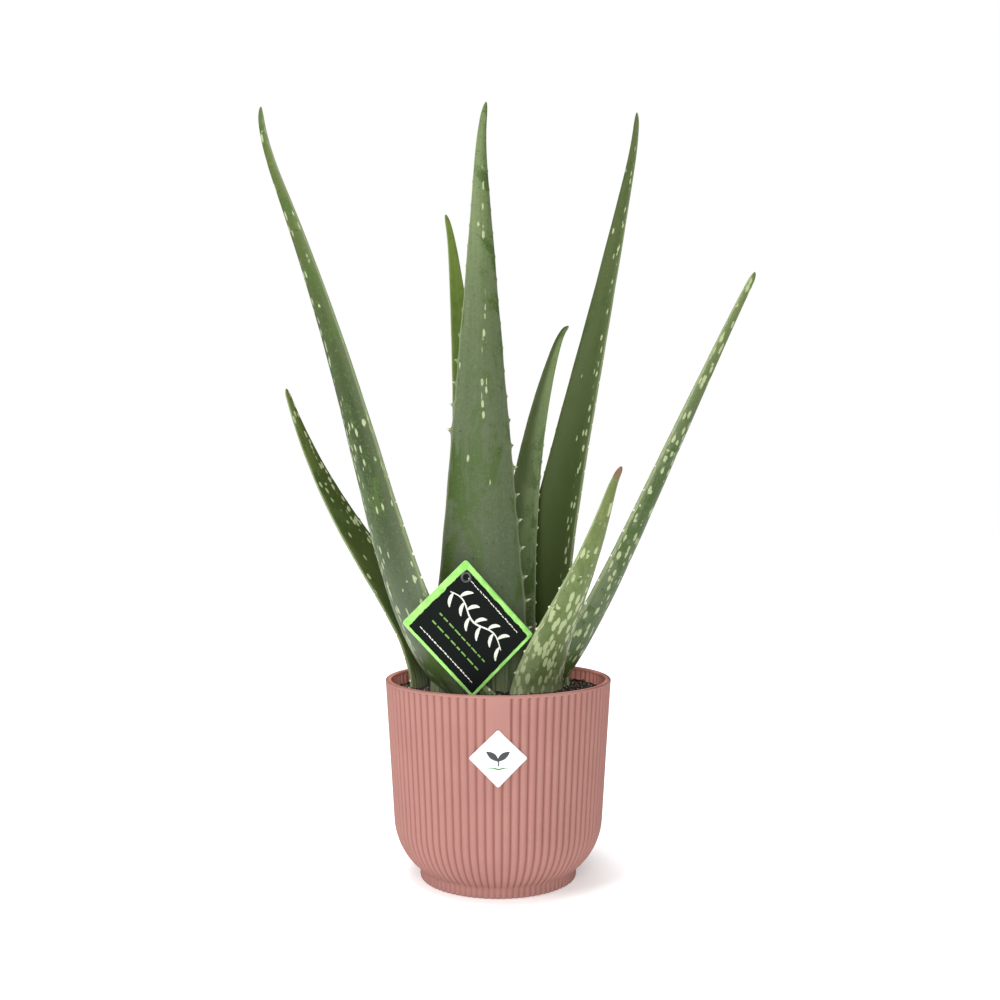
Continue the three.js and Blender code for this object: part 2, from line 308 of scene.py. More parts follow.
@dataclass(frozen=True)
class LeafFinish:
    """The skin of one leaf: green flesh under a pale waxy bloom that is rubbed off in patches."""

    low: Colour = (0.047, 0.064, 0.033)
    middle: Colour = (0.08, 0.104, 0.052)
    high: Colour = (0.14, 0.186, 0.072)
    flesh: Colour = (0.042, 0.078, 0.012)
    inner: Colour = (0.038, 0.062, 0.014)
    bloom: Colour = (0.28, 0.33, 0.2)
    margin: Colour = (0.3, 0.34, 0.22)
    foot: Colour = (0.3, 0.34, 0.2)
    dirt: Colour = (0.028, 0.034, 0.012)
    spot: Colour = (0.4, 0.46, 0.25)
    tooth: Colour = (0.74, 0.74, 0.56)
    dry: Colour = (0.15, 0.085, 0.045)
    rubbed: float = 0.85
    inner_depth: float = 0.85
    dry_from: float = 2.0
    # How strong the painted shade on one side of the leaf is, and where across the leaf it starts.
    painted_shade: float = 0.0
    painted_shade_from: float = -0.5
    low_to: float = 0.5
    relief: float = 0.35
    spots: Spots = Spots()

    def spot_mask(self, paint: Paint, place: bpy.types.NodeSocket, across: Num, share: Num,
                  fine: Num) -> Num:
        """Where the pale spots are.

        Args:
            paint: the material.
            place: the point's place on the flattened leaf.
            across: the point's place between the margins, from -1 to 1.
            share: the point's share of the length.
            fine: noise that roughens the spots.

        Returns:
            1 inside a spot, else 0.
        """
        spots = self.spots
        bands = paint.noise(paint.stretch(place, (0.5, 1, 1)), 0.012, 2)
        far, chance = paint.cells(paint.stretch(place, (1, 0.36, 1)), spots.size)
        from_line = (across - spots.line_at).most(spots.line_at - across)
        line = from_line.between(spots.line_width, spots.line_width * 0.4)
        line = line * share.between(spots.line_from, spots.line_from + 0.12)
        general = share.between(0.1, 0.6) * (spots.high - spots.low) + spots.low
        chosen = chance < general * bands.between(0.3, 0.6) + line * spots.line
        ragged = far + (fine - 0.5) * 0.35
        return chosen * ragged.between(spots.radius + 0.08, spots.radius - 0.09)

    def material(self, name: str) -> bpy.types.Material:
        """Makes the skin's material.

        Args:
            name: the material's name.

        Returns:
            The material, which reads the leaf's own place, across, share, side and tooth attributes.
        """
        paint = Paint(name)
        place = paint.place("place")
        across = paint.attribute("across")
        share = paint.attribute("share")
        side = paint.attribute("side")
        tooth = paint.attribute("tooth")
        edge = across.most(0.0 - across)

        clouds = paint.noise(paint.stretch(place, (1, 0.45, 1)), 0.017, 5, 0.65, 0.5)
        drift = paint.noise(paint.stretch(place, (1, 0.3, 1)), 0.03, 2)
        mottle = paint.noise(place, 0.0018, 3, 0.65)
        streaks = paint.noise(paint.stretch(place, (1, 0.03, 1)), 0.0013, 3, 0.55)
        patches = (clouds + (mottle - 0.5) * 0.35).between(0.515, 0.56)

        # The bloom's tone from the foot to the tip, and towards the margins.
        body = paint.mix(share.between(0.05, self.low_to), self.low, self.middle)
        body = paint.mix(share.between(0.5, 0.98), body, self.high)
        body = paint.mix(drift.between(0.35, 0.7) * 0.3, body, self.flesh)
        body = paint.mix(edge.between(0.55, 1.0) * 0.12, body, self.margin)

        # The flesh shows where the bloom is rubbed off, and in fine streaks along the leaf.
        body = paint.mix(patches * self.rubbed, body, self.flesh)
        body = paint.mix(streaks.between(0.4, 0.7) * 0.24, body, self.flesh)
        body = paint.mix(mottle.between(0.5, 0.3) * 0.3, body, self.flesh)
        body = paint.mix(mottle.between(0.5, 0.75) * 0.12, body, self.bloom)

        # The hollow inner face is deeper green, and painted shade darkens one side of some leaves.
        inside = side.between(0.05, 0.6) * self.inner_depth
        body = paint.mix(inside * (1 - share * 0.4), body, self.inner)
        painted_shade_side = across.between(self.painted_shade_from, 0.0 - self.painted_shade_from)
        body = paint.mix(painted_shade_side * self.painted_shade, body, self.inner)

        # Pale spots, margins and foot, specks of dirt, cream teeth and a dry tip.
        speckle = self.spot_mask(paint, place, across, share, mottle)
        body = paint.mix(speckle * 0.75, body, self.spot)
        body = paint.mix(edge.between(0.94, 1.0) * 0.35, body, self.spot)
        pale_foot = share.between(0.1, 0.0)
        body = paint.mix(pale_foot * streaks.between(0.3, 0.65) * 0.6, body, self.foot)
        dots = paint.noise(place, 0.0023, 1).between(0.73, 0.755) * 0.6
        dots = dots + pale_foot * (mottle.between(0.6, 0.7) * 0.5)
        body = paint.mix(dots, body, self.dirt)
        body = paint.mix(tooth.between(0.3, 0.6), body, self.tooth)
        body = paint.mix(share.between(self.dry_from - 0.03, self.dry_from), body, self.dry)

        relief = streaks * 0.35 + mottle * 0.25 + speckle * 0.35 + clouds * 0.5
        return paint.finish(
            Base_Color=body,
            Roughness=0.47 + mottle * 0.1 - patches * 0.08,
            Normal=paint.bump(relief, self.relief * MM, 0.45),
            Specular_IOR_Level=0.24,
            Subsurface_Weight=0.05,
            Subsurface_Radius=(0.6, 1.0, 0.25),
            Subsurface_Scale=1.5 * MM,
        )


@dataclass(frozen=True)
class PotFinish:
    """Matte dusty rose plastic with a fine grain, painted shade in its grooves and painted light on its inner
    wall.
    """

    face: Colour = (0.335, 0.168, 0.147)
    faded: Colour = (0.5, 0.26, 0.22)
    scuffed: Colour = (0.62, 0.42, 0.38)
    # The colour of the painted shade in the grooves.
    groove: Colour = (0.22, 0.08, 0.062)
    # The colour of the painted light on the inner wall.
    inner_wall_and_painted_light: Colour = (0.8, 0.33, 0.27)

    def material(self) -> bpy.types.Material:
        """Makes the plastic.

        Returns:
            The material, which reads the pot's attributes for the painted shade in its grooves and the
            painted light on its inner wall.
        """
        paint = Paint("rose_plastic")
        spot = paint.object_place()
        drift = paint.noise(spot, 0.03, 2)
        grain = paint.noise(spot, 0.0004, 2)
        scuffs = paint.noise(paint.stretch(spot, (1, 1, 0.1)), 0.0012, 3, 0.7).between(0.62, 0.75)
        body = paint.mix(drift.between(0.3, 0.7) * 0.12, self.face, self.faded)
        body = paint.mix(scuffs * 0.08, body, self.scuffed)
        # Painted light brightens the whole inner wall.
        body = paint.mix(paint.attribute("inner_wall_and_painted_light"), body, self.inner_wall_and_painted_light)
        # Painted shade darkens the grooves.
        body = paint.mix(paint.attribute("groove") * 0.85, body, self.groove)
        return paint.finish(
            Base_Color=body,
            Roughness=0.55 + grain * 0.12 + drift * 0.04,
            Normal=paint.bump(grain, 0.06 * MM, 0.35),
            Specular_IOR_Level=0.03,
        )


@dataclass(frozen=True)
class SoilFinish:
    """Moist dark peat whose crumbs differ in tone."""

    dark: Colour = (0.007, 0.005, 0.0035)
    brown: Colour = (0.24, 0.15, 0.1)
    glint: Colour = (0.28, 0.24, 0.2)

    def material(self, name: str) -> bpy.types.Material:
        """Makes the peat.

        Args:
            name: the material's name.

        Returns:
            The material, which reads the crumbs' tone attribute.
        """
        paint = Paint(name)
        spot = paint.object_place()
        lumps = paint.noise(spot, 0.004, 4, 0.7)
        crumb = paint.noise(spot, 0.0006, 3, 0.6)
        tone = paint.attribute("tone")
        dry = lumps.between(0.45, 0.75) * 0.1 + tone * tone * tone * 0.75
        body = paint.mix(dry, self.dark, self.brown)
        glints = (crumb + (lumps - 0.5) * 0.2).between(0.72, 0.76)
        body = paint.mix(glints * 0.6, body, self.glint)
        return paint.finish(
            Base_Color=body,
            Roughness=0.68 + crumb * 0.25,
            Normal=paint.bump(crumb + lumps * 0.5, 0.7 * MM, 0.8),
        )


@dataclass(frozen=True)
class PlainFinish:
    """A small piece's finish: one colour that drifts a little, with a fine relief."""

    name: str
    colour: Colour
    drift: Colour
    size: float = 0.003
    rough: float = 0.6
    relief: float = 0.1
    coat: float = 0.0

    def material(self) -> bpy.types.Material:
        """Makes the material."""
        paint = Paint(self.name)
        spot = paint.object_place()
        clouds = paint.noise(spot, self.size, 4, 0.6)
        return paint.finish(
            Base_Color=paint.mix(clouds.between(0.3, 0.7), self.colour, self.drift),
            Roughness=self.rough - 0.05 + clouds * 0.1,
            Normal=paint.bump(clouds, self.relief * MM, 0.5),
            Coat_Weight=self.coat,
        )


@dataclass(frozen=True)
class CardFinish:
    """Printed card: black with a brushed green border on the front, pale on the back."""

    black: Colour = (0.006, 0.008, 0.007)
    green: Colour = (0.24, 0.56, 0.12)
    light_green: Colour = (0.36, 0.72, 0.2)
    fleck: Colour = (0.2, 0.2, 0.22)
    back: Colour = (0.62, 0.68, 0.5)

    def material(self) -> bpy.types.Material:
        """Makes the card.

        Returns:
            The material, which reads the card attribute: how far in from the edge a point is, in border
            widths, and its side.
        """
        paint = Paint("printed_card")
        inset, front, _ = paint.split(paint.place("card"))
        spot = paint.object_place()
        ragged = paint.noise(spot, 0.006, 3, 0.6)
        fine = paint.noise(spot, 0.0007, 2)
        printed = (inset + (ragged - 0.5) * 0.7).between(0.95, 1.05)
        green = paint.mix(ragged.between(0.35, 0.65), self.green, self.light_green)
        face = paint.mix(printed, green, self.black)
        face = paint.mix(fine.between(0.62, 0.8) * 0.08, face, self.fleck)
        return paint.finish(
            Base_Color=paint.mix(front, self.back, face),
            Roughness=0.5 + fine * 0.15,
            Normal=paint.bump(fine, 0.03 * MM, 0.4),
            Specular_IOR_Level=0.06,
        )


# ---------------------------------------------------------------------------------------------------
# Mesh helpers
# ---------------------------------------------------------------------------------------------------


Grid = tuple[bmesh.types.BMesh, list[tuple[bmesh.types.BMVert, int, int]]]


def add_piece(name: str, mesh_maker: bmesh.types.BMesh, materials: Sequence[bpy.types.Material],
              slot: str, smooth: bool = True) -> bpy.types.Object:
    """Turns a bmesh into a piece of the object.

    Args:
        name: the piece's name.
        mesh_maker: the shape, which is freed.
        materials: the piece's materials, in the order of its faces' material numbers.
        slot: the name of a material slot; it is not used.
        smooth: whether its faces are smooth.

    Returns:
        The new object, which rides on the body.
    """
    mesh = bpy.data.meshes.new(name)
    for face in mesh_maker.faces:
        face.smooth = smooth
    mesh_maker.to_mesh(mesh)
    mesh_maker.free()
    piece = bpy.data.objects.new(name, mesh)
    bpy.context.scene.collection.objects.link(piece)
    for material in materials:
        mesh.materials.append(material)
    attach(piece, BODY)
    log.info("%s: %d faces", name, len(mesh.polygons))
    return piece


def grid_sheet(columns: int, rows: int, vectors: Sequence[str] = (), numbers: Sequence[str] = ()) -> Grid:
    """A flat grid whose vertices know their column and row.

    Args:
        columns: how many steps it has one way.
        rows: how many steps it has the other way.
        vectors: the names of the vectors that its vertices are to hold.
        numbers: the names of the numbers that its vertices are to hold.

    Returns:
        The bmesh, and each vertex with its column and row.
    """
    bm = bmesh.new()
    for name in vectors:
        bm.verts.layers.float_vector.new(name)
    for name in numbers:
        bm.verts.layers.float.new(name)
    bmesh.ops.create_grid(bm, x_segments=columns, y_segments=rows, size=0.5)
    known = [(v, round((v.co.x + 0.5) * columns), round((v.co.y + 0.5) * rows)) for v in bm.verts]
    return bm, known


def close_up(bm: bmesh.types.BMesh) -> None:
    """Merges the points that lie on each other and turns all faces outwards."""
    bmesh.ops.remove_doubles(bm, verts=bm.verts, dist=1e-6)
    bmesh.ops.recalc_face_normals(bm, faces=bm.faces)


def turn(profile: Sequence[tuple[float, ...]], steps: int, number: str) -> bmesh.types.BMesh:
    """Turns a profile about the Z axis.

    Args:
        profile: radius and height of each point, in metres, and a number that its vertices hold, else 0.
        steps: how many steps the turn has.
        number: the name of that number.

    Returns:
        The closed shape.
    """
    bm = bmesh.new()
    layer = bm.verts.layers.float.new(number)
    points = []
    for radius, height, *rest in profile:
        points.append(bm.verts.new((0.0, -radius, height)))
        points[-1][layer] = rest[0] if rest else 0.0
    edges = [bm.edges.new(pair) for pair in zip(points, points[1:])]
    bmesh.ops.spin(bm, geom=points + edges, cent=(0, 0, 0), axis=(0, 0, 1), dvec=(0, 0, 0),
                   angle=2 * math.pi, steps=steps, use_merge=True, use_duplicate=False)
    close_up(bm)
    return bm


def thicken(piece: bpy.types.Object, thickness: float) -> None:
    """Gives a flat piece a wall.

    Args:
        piece: the piece.
        thickness: its thickness in millimetres, half to each side.
    """
    wall = piece.modifiers.new("thick", "SOLIDIFY")
    wall.thickness = thickness * MM
    wall.offset = 0.0


def smooth_step(value: float, low: float, high: float) -> float:
    """A smooth step from 0 at low to 1 at high."""
    share = min(1.0, max(0.0, (value - low) / (high - low)))
    return share * share * (3 - 2 * share)


def polar(radius: float, degrees: float, height: float) -> Vector:
    """The point at a radius, a bearing and a height."""
    angle = math.radians(degrees)
    return Vector((radius * math.cos(angle), radius * math.sin(angle), height))


# ---------------------------------------------------------------------------------------------------
# Pot
# ---------------------------------------------------------------------------------------------------


@dataclass
class Pot:
    """The ribbed pot and its sticker's seat, in millimetres."""

    rim_radius: float = 70.0
    height: float = 122.0
    wall: float = 3.6
    floor: float = 4.0
    shoulder_height: float = 36.0
    shoulder_inset: float = 5.4
    bowl_radius: float = 40.0
    foot_radius: float = 48.5
    foot_height: float = 7.5
    neck_inset: float = 0.15
    edge: float = 0.9
    ribs: int = 84
    rib_depth: float = 1.25
    inner_rib_depth: float = 0.9
    inner_ribs: tuple[float, float] = (84.0, 92.0)
    uncut_inside: float = -0.001
    lip: float = 1.4
    roundness: float = 0.85
    foot_cut: float = 0.65
    panel_ribs: int = 3
    panel_gap: float = 0.12
    panel_height: float = 46.0
    steps_per_rib: int = 10
    outer_rows: int = 16
    inner_rows: int = 14
    lip_steps: tuple[float, ...] = (0.3, 0.7, 1.2)
    panel_steps: tuple[float, ...] = (-1.5, -0.5, 0.5, 1.5)
    middle_ring: float = 20.0
    # How much of the painted groove shade the inner wall's grooves get.
    inner_groove_tone: float = 0.4
    finish: PotFinish = PotFinish()

    def outer_radius(self, height: float) -> float:
        """The radius of the straight part of the outer wall at a height."""
        drop = (self.height - height) / (self.height - self.shoulder_height)
        return self.rim_radius - self.shoulder_inset * drop

    def wall_outline(self, inset: float, lowest: float, rows: int) -> list[tuple[float, float]]:
        """The bowl's arc and the straight wall above it.

        Args:
            inset: how far in from the outer face it is.
            lowest: the height it starts from.
            rows: how many rows the arc and the straight wall have each.

        Returns:
            Radius and height of each point, upwards.
        """
        slope = math.atan2(self.shoulder_inset, self.height - self.shoulder_height)
        centre = self.rim_radius - self.shoulder_inset - self.bowl_radius * math.cos(slope)
        level = self.shoulder_height + self.bowl_radius * math.sin(slope)
        radius = self.bowl_radius - inset
        start = math.asin(min(1.0, (level - lowest) / radius))
        points = []
        for row in range(rows + 1):
            angle = start + (slope - start) * row / rows
            points.append((centre + radius * math.cos(angle), level - radius * math.sin(angle)))
        low = points[-1][1]
        top = self.height - self.lip
        panel_foot = self.height - self.panel_height
        heights = {low + (top - low) * row / rows for row in range(1, rows + 1)}
        heights |= {top - gap for gap in self.lip_steps} | {panel_foot + gap for gap in self.panel_steps}
        for height in sorted(heights):
            points.append((self.outer_radius(height) - inset / math.cos(slope), height))
        return points

    def profile(self) -> list[tuple[float, float, float]]:
        """The pot's section, from the middle of its underside round to the middle of its floor.

        Returns:
            Radius, height and how deep the ribs are cut there, which is negative on the inner wall.
        """
        mouth = self.rim_radius - self.wall
        outer = self.wall_outline(0.0, self.foot_height, self.outer_rows)
        inner = self.wall_outline(self.wall, self.floor, self.inner_rows)
        foot = self.foot_radius
        neck = foot - self.neck_inset
        flare = outer[0][0] - neck
        deep = self.rib_depth
        low = deep * self.foot_cut
        underside = [(0.0, 0.0, 0.0), (self.middle_ring, 0.0, 0.0), (foot - 3.0, 0.0, 0.0)]
        foot_ring = [
            (foot - self.edge, 0.0, low * 0.7),
            (foot - 0.3 * self.edge, 0.25 * self.edge, low),
            (foot, self.edge, low),
            (foot - 0.05, 2.4, low),
            (foot - 0.1, 3.8, low),
            (neck, 5.0, low),
            (neck + 0.16 * flare, 5.9, low),
            (neck + 0.5 * flare, outer[0][1] - 0.7, (low + deep) / 2),
        ]
        face = [(r, z, deep) for r, z in outer[:-1]] + [(*outer[-1], 0.0)]
        rounding = [(self.edge * (1 - math.cos(a)), self.height - self.edge * (1 - math.sin(a)))
                    for a in (0.0, 0.4, 0.8, 1.2, math.pi / 2)]
        lip = [(self.rim_radius - away, z, 0.0) for away, z in rounding]
        lip += [(mouth + away, z, self.uncut_inside) for away, z in reversed(rounding)]
        cuts = [-self.inner_rib_depth * smooth_step(z, *self.inner_ribs) for _, z in inner]
        inner_wall_and_painted_light = [(r, z, min(self.uncut_inside, cut)) for (r, z), cut in zip(inner, cuts)]
        inner_wall_and_painted_light[-1] = (*inner[-1], self.uncut_inside)
        floor = [(r, inner[0][1], self.uncut_inside) for r in (self.middle_ring, 0.0)]
        return underside + foot_ring + face + lip + inner_wall_and_painted_light[:0:-1] + floor

    def groove_at(self, rib: float, height: float, cut: float) -> float:
        """How deep the groove is at a point of the outer or inner wall.

        Args:
            rib: the bearing from the front, in ribs.
            height: the point's height.
            cut: how deep the ribs are cut at that height, negative on the inner wall.

        Returns:
            The depth in millimetres, inwards, negative on the inner wall.
        """
        across = (rib + 0.5) % 1.0 - 0.5
        hollow = 1 - abs(math.cos(math.pi * across)) ** self.roundness
        beside = self.panel_ribs / 2 - self.panel_gap
        on_panel = cut > 0 and height > self.height - self.panel_height and abs(rib) < beside
        return 0.0 if on_panel else cut * hollow

    def build(self) -> bpy.types.Object:
        """Builds the pot with its ribs and dresses it.

        Returns:
            The pot, in place of its CAD node.
        """
        profile = [(r * MM, z * MM, cut) for r, z, cut in self.profile()]
        bm = turn(profile, self.ribs * self.steps_per_rib, "groove")
        # This layer first holds each point's rib cut, then how much painted shade its groove gets.
        groove = bm.verts.layers.float["groove"]
        # This mask marks the inner wall, which the material brightens with painted light.
        inner_wall_and_painted_light = bm.verts.layers.float.new("inner_wall_and_painted_light")
        for vert in bm.verts:
            radius = math.hypot(vert.co.x, vert.co.y) / MM
            if vert[groove] == 0.0 or radius < 1.0:
                continue
            vert[inner_wall_and_painted_light] = float(vert[groove] < 0.0)
            rib = math.atan2(vert.co.x, -vert.co.y) / (2 * math.pi) * self.ribs
            depth = self.groove_at(rib, vert.co.z / MM, vert[groove])
            vert.co.x *= 1 - depth / radius
            vert.co.y *= 1 - depth / radius
            # The inner wall gets less of the painted groove shade.
            tone = self.inner_groove_tone if vert[inner_wall_and_painted_light] else 1.0
            vert[groove] = smooth_step(abs(depth) / self.rib_depth, 0.3, 1.0) * tone
        pot = add_piece("ribbed_pot", bm, [self.finish.material()], "pot")
        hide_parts("cover_pot")
        return pot

    def on_wall(self, across: float, height: float, out: float) -> Vector:
        """A point just in front of the pot's wall, in metres.

        Args:
            across: how far to the right of the front, along the wall, in millimetres.
            height: the height in millimetres.
            out: how far off the wall in millimetres.

        Returns:
            The point.
        """
        radius = self.outer_radius(height)
        angle = math.degrees(across / radius) - 90
        return polar(radius + out, angle, height) * MM


# ---------------------------------------------------------------------------------------------------
# Leaves
# ---------------------------------------------------------------------------------------------------


@dataclass(frozen=True)
class LeafForm:
    """One leaf's place and shape, in millimetres and degrees, as the part's source gives them.

    reach is the foot's distance from the middle as a share of the crown, on its bearing. azimuth is the
    way it leans, and swing how far that turns by the tip. lean is its tilt at the foot, in the middle and
    at the tip, and hook the last bend. bare is the share of one margin that has no teeth.
    """

    node: str
    reach: float
    bearing: float
    azimuth: float
    swing: float
    lean: tuple[float, float, float]
    hook: float
    roll: float
    length: float
    width: float
    thickness: float
    joins: float
    finish: LeafFinish
    slot: str = "leaf"
    tooth: float = 2.6
    pitch: float = 17.0
    hollow: float = 0.36
    tip: float = 3.2
    bare: float = 0.0


@dataclass(frozen=True)
class Section:
    """One section of a leaf: its distance and share along it, its middle, its axes and its size."""

    mark: float
    share: float
    middle: Vector
    along: Vector
    across: Vector
    inward: Vector
    width: float
    thickness: float


Teeth = list[tuple[float, float]]


@dataclass
class Leaf:
    """Builds one leaf as a closed skin over sections along its spine."""

    form: LeafForm
    crown_radius: float
    soil_level: float
    stem_radius: float = 7.8
    tip_thickness: float = 2.6
    around: int = 40
    station_gap: float = 4.0
    least_gap: float = 0.3
    tooth_steps: tuple[float, ...] = (-4.5, -2.8, -1.5, -0.95, -0.45, 0.0, 0.4, 0.8, 1.4, 2.8, 4.5)
    tip_steps: tuple[float, ...] = (12, 9, 6.5, 4.5, 3, 1.8, 0.9, 0.3, 0)
    spine_steps: int = 360
    buried_rows: int = 5
    hook_from: float = 0.86
    rounded_from: float = 0.97
    teeth_to: float = 0.9
    thorn_reach: float = 1.7
    scallop_reach: float = 3.2
    scallop: float = 0.26
    tooth_spread: tuple[float, ...] = (1.0, 0.3, 0.08)
    tooth_sweep: float = 0.45
    back: float = 0.78
    face: float = 0.3
    side_scale: float = 20.0

    def lean_at(self, share: float) -> float:
        """How far the leaf leans from the vertical at a share of its length, in degrees.

        Args:
            share: the share of its length.

        Returns:
            The lean.
        """
        foot, middle, top = self.form.lean
        hooked = max(0.0, (share - self.hook_from) / (1 - self.hook_from)) ** 2
        return middle + (foot - middle) * (1 - share) ** 6 + (top - middle) * share + self.form.hook * hooked

    def frame_at(self, share: float) -> tuple[Vector, Vector, Vector]:
        """The directions along the leaf, across it and out of its inner face.

        Args:
            share: the share of its length.

        Returns:
            Three directions at right angles.
        """
        lean = math.radians(self.lean_at(share))
        azimuth = self.form.azimuth + self.form.swing * share ** 2
        along = polar(math.sin(lean), azimuth, math.cos(lean))
        across = polar(1.0, azimuth + 90, 0.0)
        across = Matrix.Rotation(math.radians(self.form.roll), 3, along) @ across
        return along, across, along.cross(across)

    def foot(self) -> Vector:
        """Where the leaf comes out of the soil."""
        return polar(self.form.reach * self.crown_radius, self.form.bearing, self.soil_level)

    def teeth(self, rng: random.Random, offset: float, full: float) -> Teeth:
        """Places the teeth of one margin.

        Args:
            rng: the source of their unevenness.
            offset: where the first one is, in pitches.
            full: the share of the leaf up to which they have their full height.

        Returns:
            Each tooth's distance along the leaf and its height, in millimetres.
        """
        placed = []
        at = self.form.pitch * offset
        while at < self.form.length * self.teeth_to:
            share = at / self.form.length
            fading = 1 - 0.9 * smooth_step(share, full, full + 0.25)
            placed.append((at, self.form.tooth * fading * rng.uniform(0.8, 1.1)))
            at += self.form.pitch * (1 - 0.3 * share) * rng.uniform(0.88, 1.12)
        return placed

    def margins(self, rng: random.Random) -> tuple[Teeth, Teeth]:
        """The teeth of the two margins."""
        one, other = self.teeth(rng, 0.45, 0.3), self.teeth(rng, 0.95, 0.45)
        return one, [(at, height) for at, height in other if at > self.form.bare * self.form.length]

    def tooth_profile(self, away: float) -> float:
        """The share of a tooth's height at a distance along the margin: a thorn on a low scallop."""
        thorn = max(0.0, 1 - abs(away) / self.thorn_reach) ** 1.3
        return (1 - self.scallop) * thorn + self.scallop * math.exp(-abs(away) / self.scallop_reach)

    def spread(self, mark: float, margins: Iterable[Teeth]) -> np.ndarray:
        """How far the teeth push each point of a section outwards, across the leaf.

        Args:
            mark: the section's distance along the leaf.
            margins: the teeth of the two margins.

        Returns:
            The distance for each point round the section, negative on the second margin.
        """
        pushed = np.zeros(self.around + 1)
        for margin, (column, sign) in zip(margins, ((0, 1), (self.around // 2, -1))):
            height = sum(high * self.tooth_profile(mark - at) for at, high in margin)
            for near, weight in enumerate(self.tooth_spread):
                for col in {column - near, column + near}:
                    pushed[col % self.around] += sign * height * weight
        pushed[self.around] = pushed[0]
        return pushed

    def stations(self, teeth: Teeth) -> list[float]:
        """The distances along the leaf where it has sections.

        Args:
            teeth: the teeth of both margins.

        Returns:
            The distances in millimetres, close together at each tooth and at the tip.
        """
        tail = self.form.length
        marks = set(np.arange(0.0, tail, self.station_gap).round(2))
        marks |= {round(at + step, 2) for at, _ in teeth for step in self.tooth_steps}
        marks |= {tail - gap for gap in self.tip_steps}
        kept: list[float] = []
        for mark in sorted(m for m in marks if 0 <= m <= tail):
            if not kept or mark - kept[-1] > self.least_gap:
                kept.append(mark)
        kept[-1] = tail
        return kept

    def spine(self, stations: Sequence[float]) -> list[Vector]:
        """The middle of the leaf at each station.

        Args:
            stations: the distances along the leaf.

        Returns:
            The point at each of them.
        """
        steps = self.spine_steps
        point = self.foot()
        track = [point.copy()]
        for step in range(steps):
            along, _, _ = self.frame_at((step + 0.5) / steps)
            point = point + along * (self.form.length / steps)
            track.append(point.copy())
        places = []
        for mark in stations:
            at = mark / self.form.length * steps
            low = min(int(at), steps - 1)
            places.append(track[low].lerp(track[low + 1], at - low))
        return places

    def buried(self) -> list[Section]:
        """The sections in the soil, from the stem to the foot.

        Returns:
            The sections.
        """
        form, rows = self.form, self.buried_rows
        foot = self.foot()
        start = polar(self.stem_radius, form.bearing, foot.z - form.joins)
        bend = foot - self.frame_at(0.0)[0] * (form.joins / 2)
        sideways = polar(1.0, form.azimuth + 90, 0.0)
        sections = []
        for row in range(rows):
            share = row / rows
            middle = start.lerp(bend, share).lerp(bend.lerp(foot, share), share)
            along = ((bend - start) * (1 - share) + (foot - bend) * share).normalized()
            inward = along.cross(sideways).normalized()
            sections.append(Section((row - rows) * form.joins / rows, 0.0, middle, along,
                                    inward.cross(along), inward, form.width * (0.22 + 0.78 * share),
                                    form.thickness * (0.5 + 0.5 * share)))
        return sections

    def risen(self, stations: Sequence[float]) -> list[Section]:
        """The sections above the soil, one at each station.

        Args:
            stations: the distances along the leaf.

        Returns:
            A section for each of them.
        """
        form = self.form
        sections = []
        for mark, middle in zip(stations, self.spine(stations)):
            share = mark / form.length
            last = max(0.0, (share - self.rounded_from) / (1 - self.rounded_from))
            rounded = math.sqrt(max(0.0, 1 - last ** 2.4))
            width = form.tip + (form.width - form.tip) * (1 - share) ** 1.08
            thickness = self.tip_thickness + (form.thickness - self.tip_thickness) * (1 - share) ** 0.9
            sections.append(Section(mark, share, middle, *self.frame_at(share),
                                    width * rounded, thickness * rounded))
        return sections

    def outline(self, section: Section, seed: float) -> np.ndarray:
        """The outline of a section: a round back and a face that is hollow between two lips.

        Args:
            section: where it is and how large.
            seed: a number that makes this leaf's unevenness its own.

        Returns:
            For each point round it: how far across, how far inwards, its place between the margins and
            its side.
        """
        share = section.share
        angle = np.linspace(0, 2 * math.pi, self.around + 1)
        between = np.cos(angle)
        rise = np.abs(np.sin(angle))
        hollow = self.form.hollow * (1 - 0.66 * share)
        swell = 1 + 0.05 * noise.noise(Vector((share * 9, seed, 0)))
        waviness = 1 + 0.025 * noise.noise(Vector((share * 14, seed, 5)))
        outward = -self.back * rise ** 1.15 * swell
        inward = self.face * rise - hollow * rise ** 3
        depth = np.where(np.sin(angle) > 0, inward, outward) * section.thickness
        side = np.clip(np.sin(angle) * 3, -1, 1)
        return np.stack([between * section.width / 2 * waviness, depth, between, side], 1)

    def build(self) -> bpy.types.Object:
        """Builds the leaf with its teeth and dresses it.

        Returns:
            The leaf, in place of its CAD node.
        """
        seed = self.form.bearing + self.form.length
        margins = self.margins(random.Random(int(seed)))
        sections = self.buried() + self.risen(self.stations(margins[0] + margins[1]))
        rows = len(sections)
        points = np.zeros((rows + 1, self.around + 1, 3))
        marks = np.zeros((rows + 1, self.around + 1, 7))
        for row, section in enumerate(sections):
            across, inward, between, side = self.outline(section, seed).T
            spread = self.spread(section.mark, margins)
            points[row] = (np.array(section.middle)
                           + np.outer(across + spread, np.array(section.across))
                           + np.outer(inward, np.array(section.inward))
                           + np.outer(np.abs(spread) * self.tooth_sweep, np.array(section.along)))
            even = np.ones(self.around + 1)
            marks[row] = np.stack([across, even * section.mark, side * self.side_scale, between,
                                   even * section.share, side, np.abs(spread) / self.form.tooth], 1)
        points[0] = points[0].mean(0)
        points[rows] = points[rows - 1].mean(0)
        marks[rows] = marks[rows - 1]
        return self.skin(points, marks)

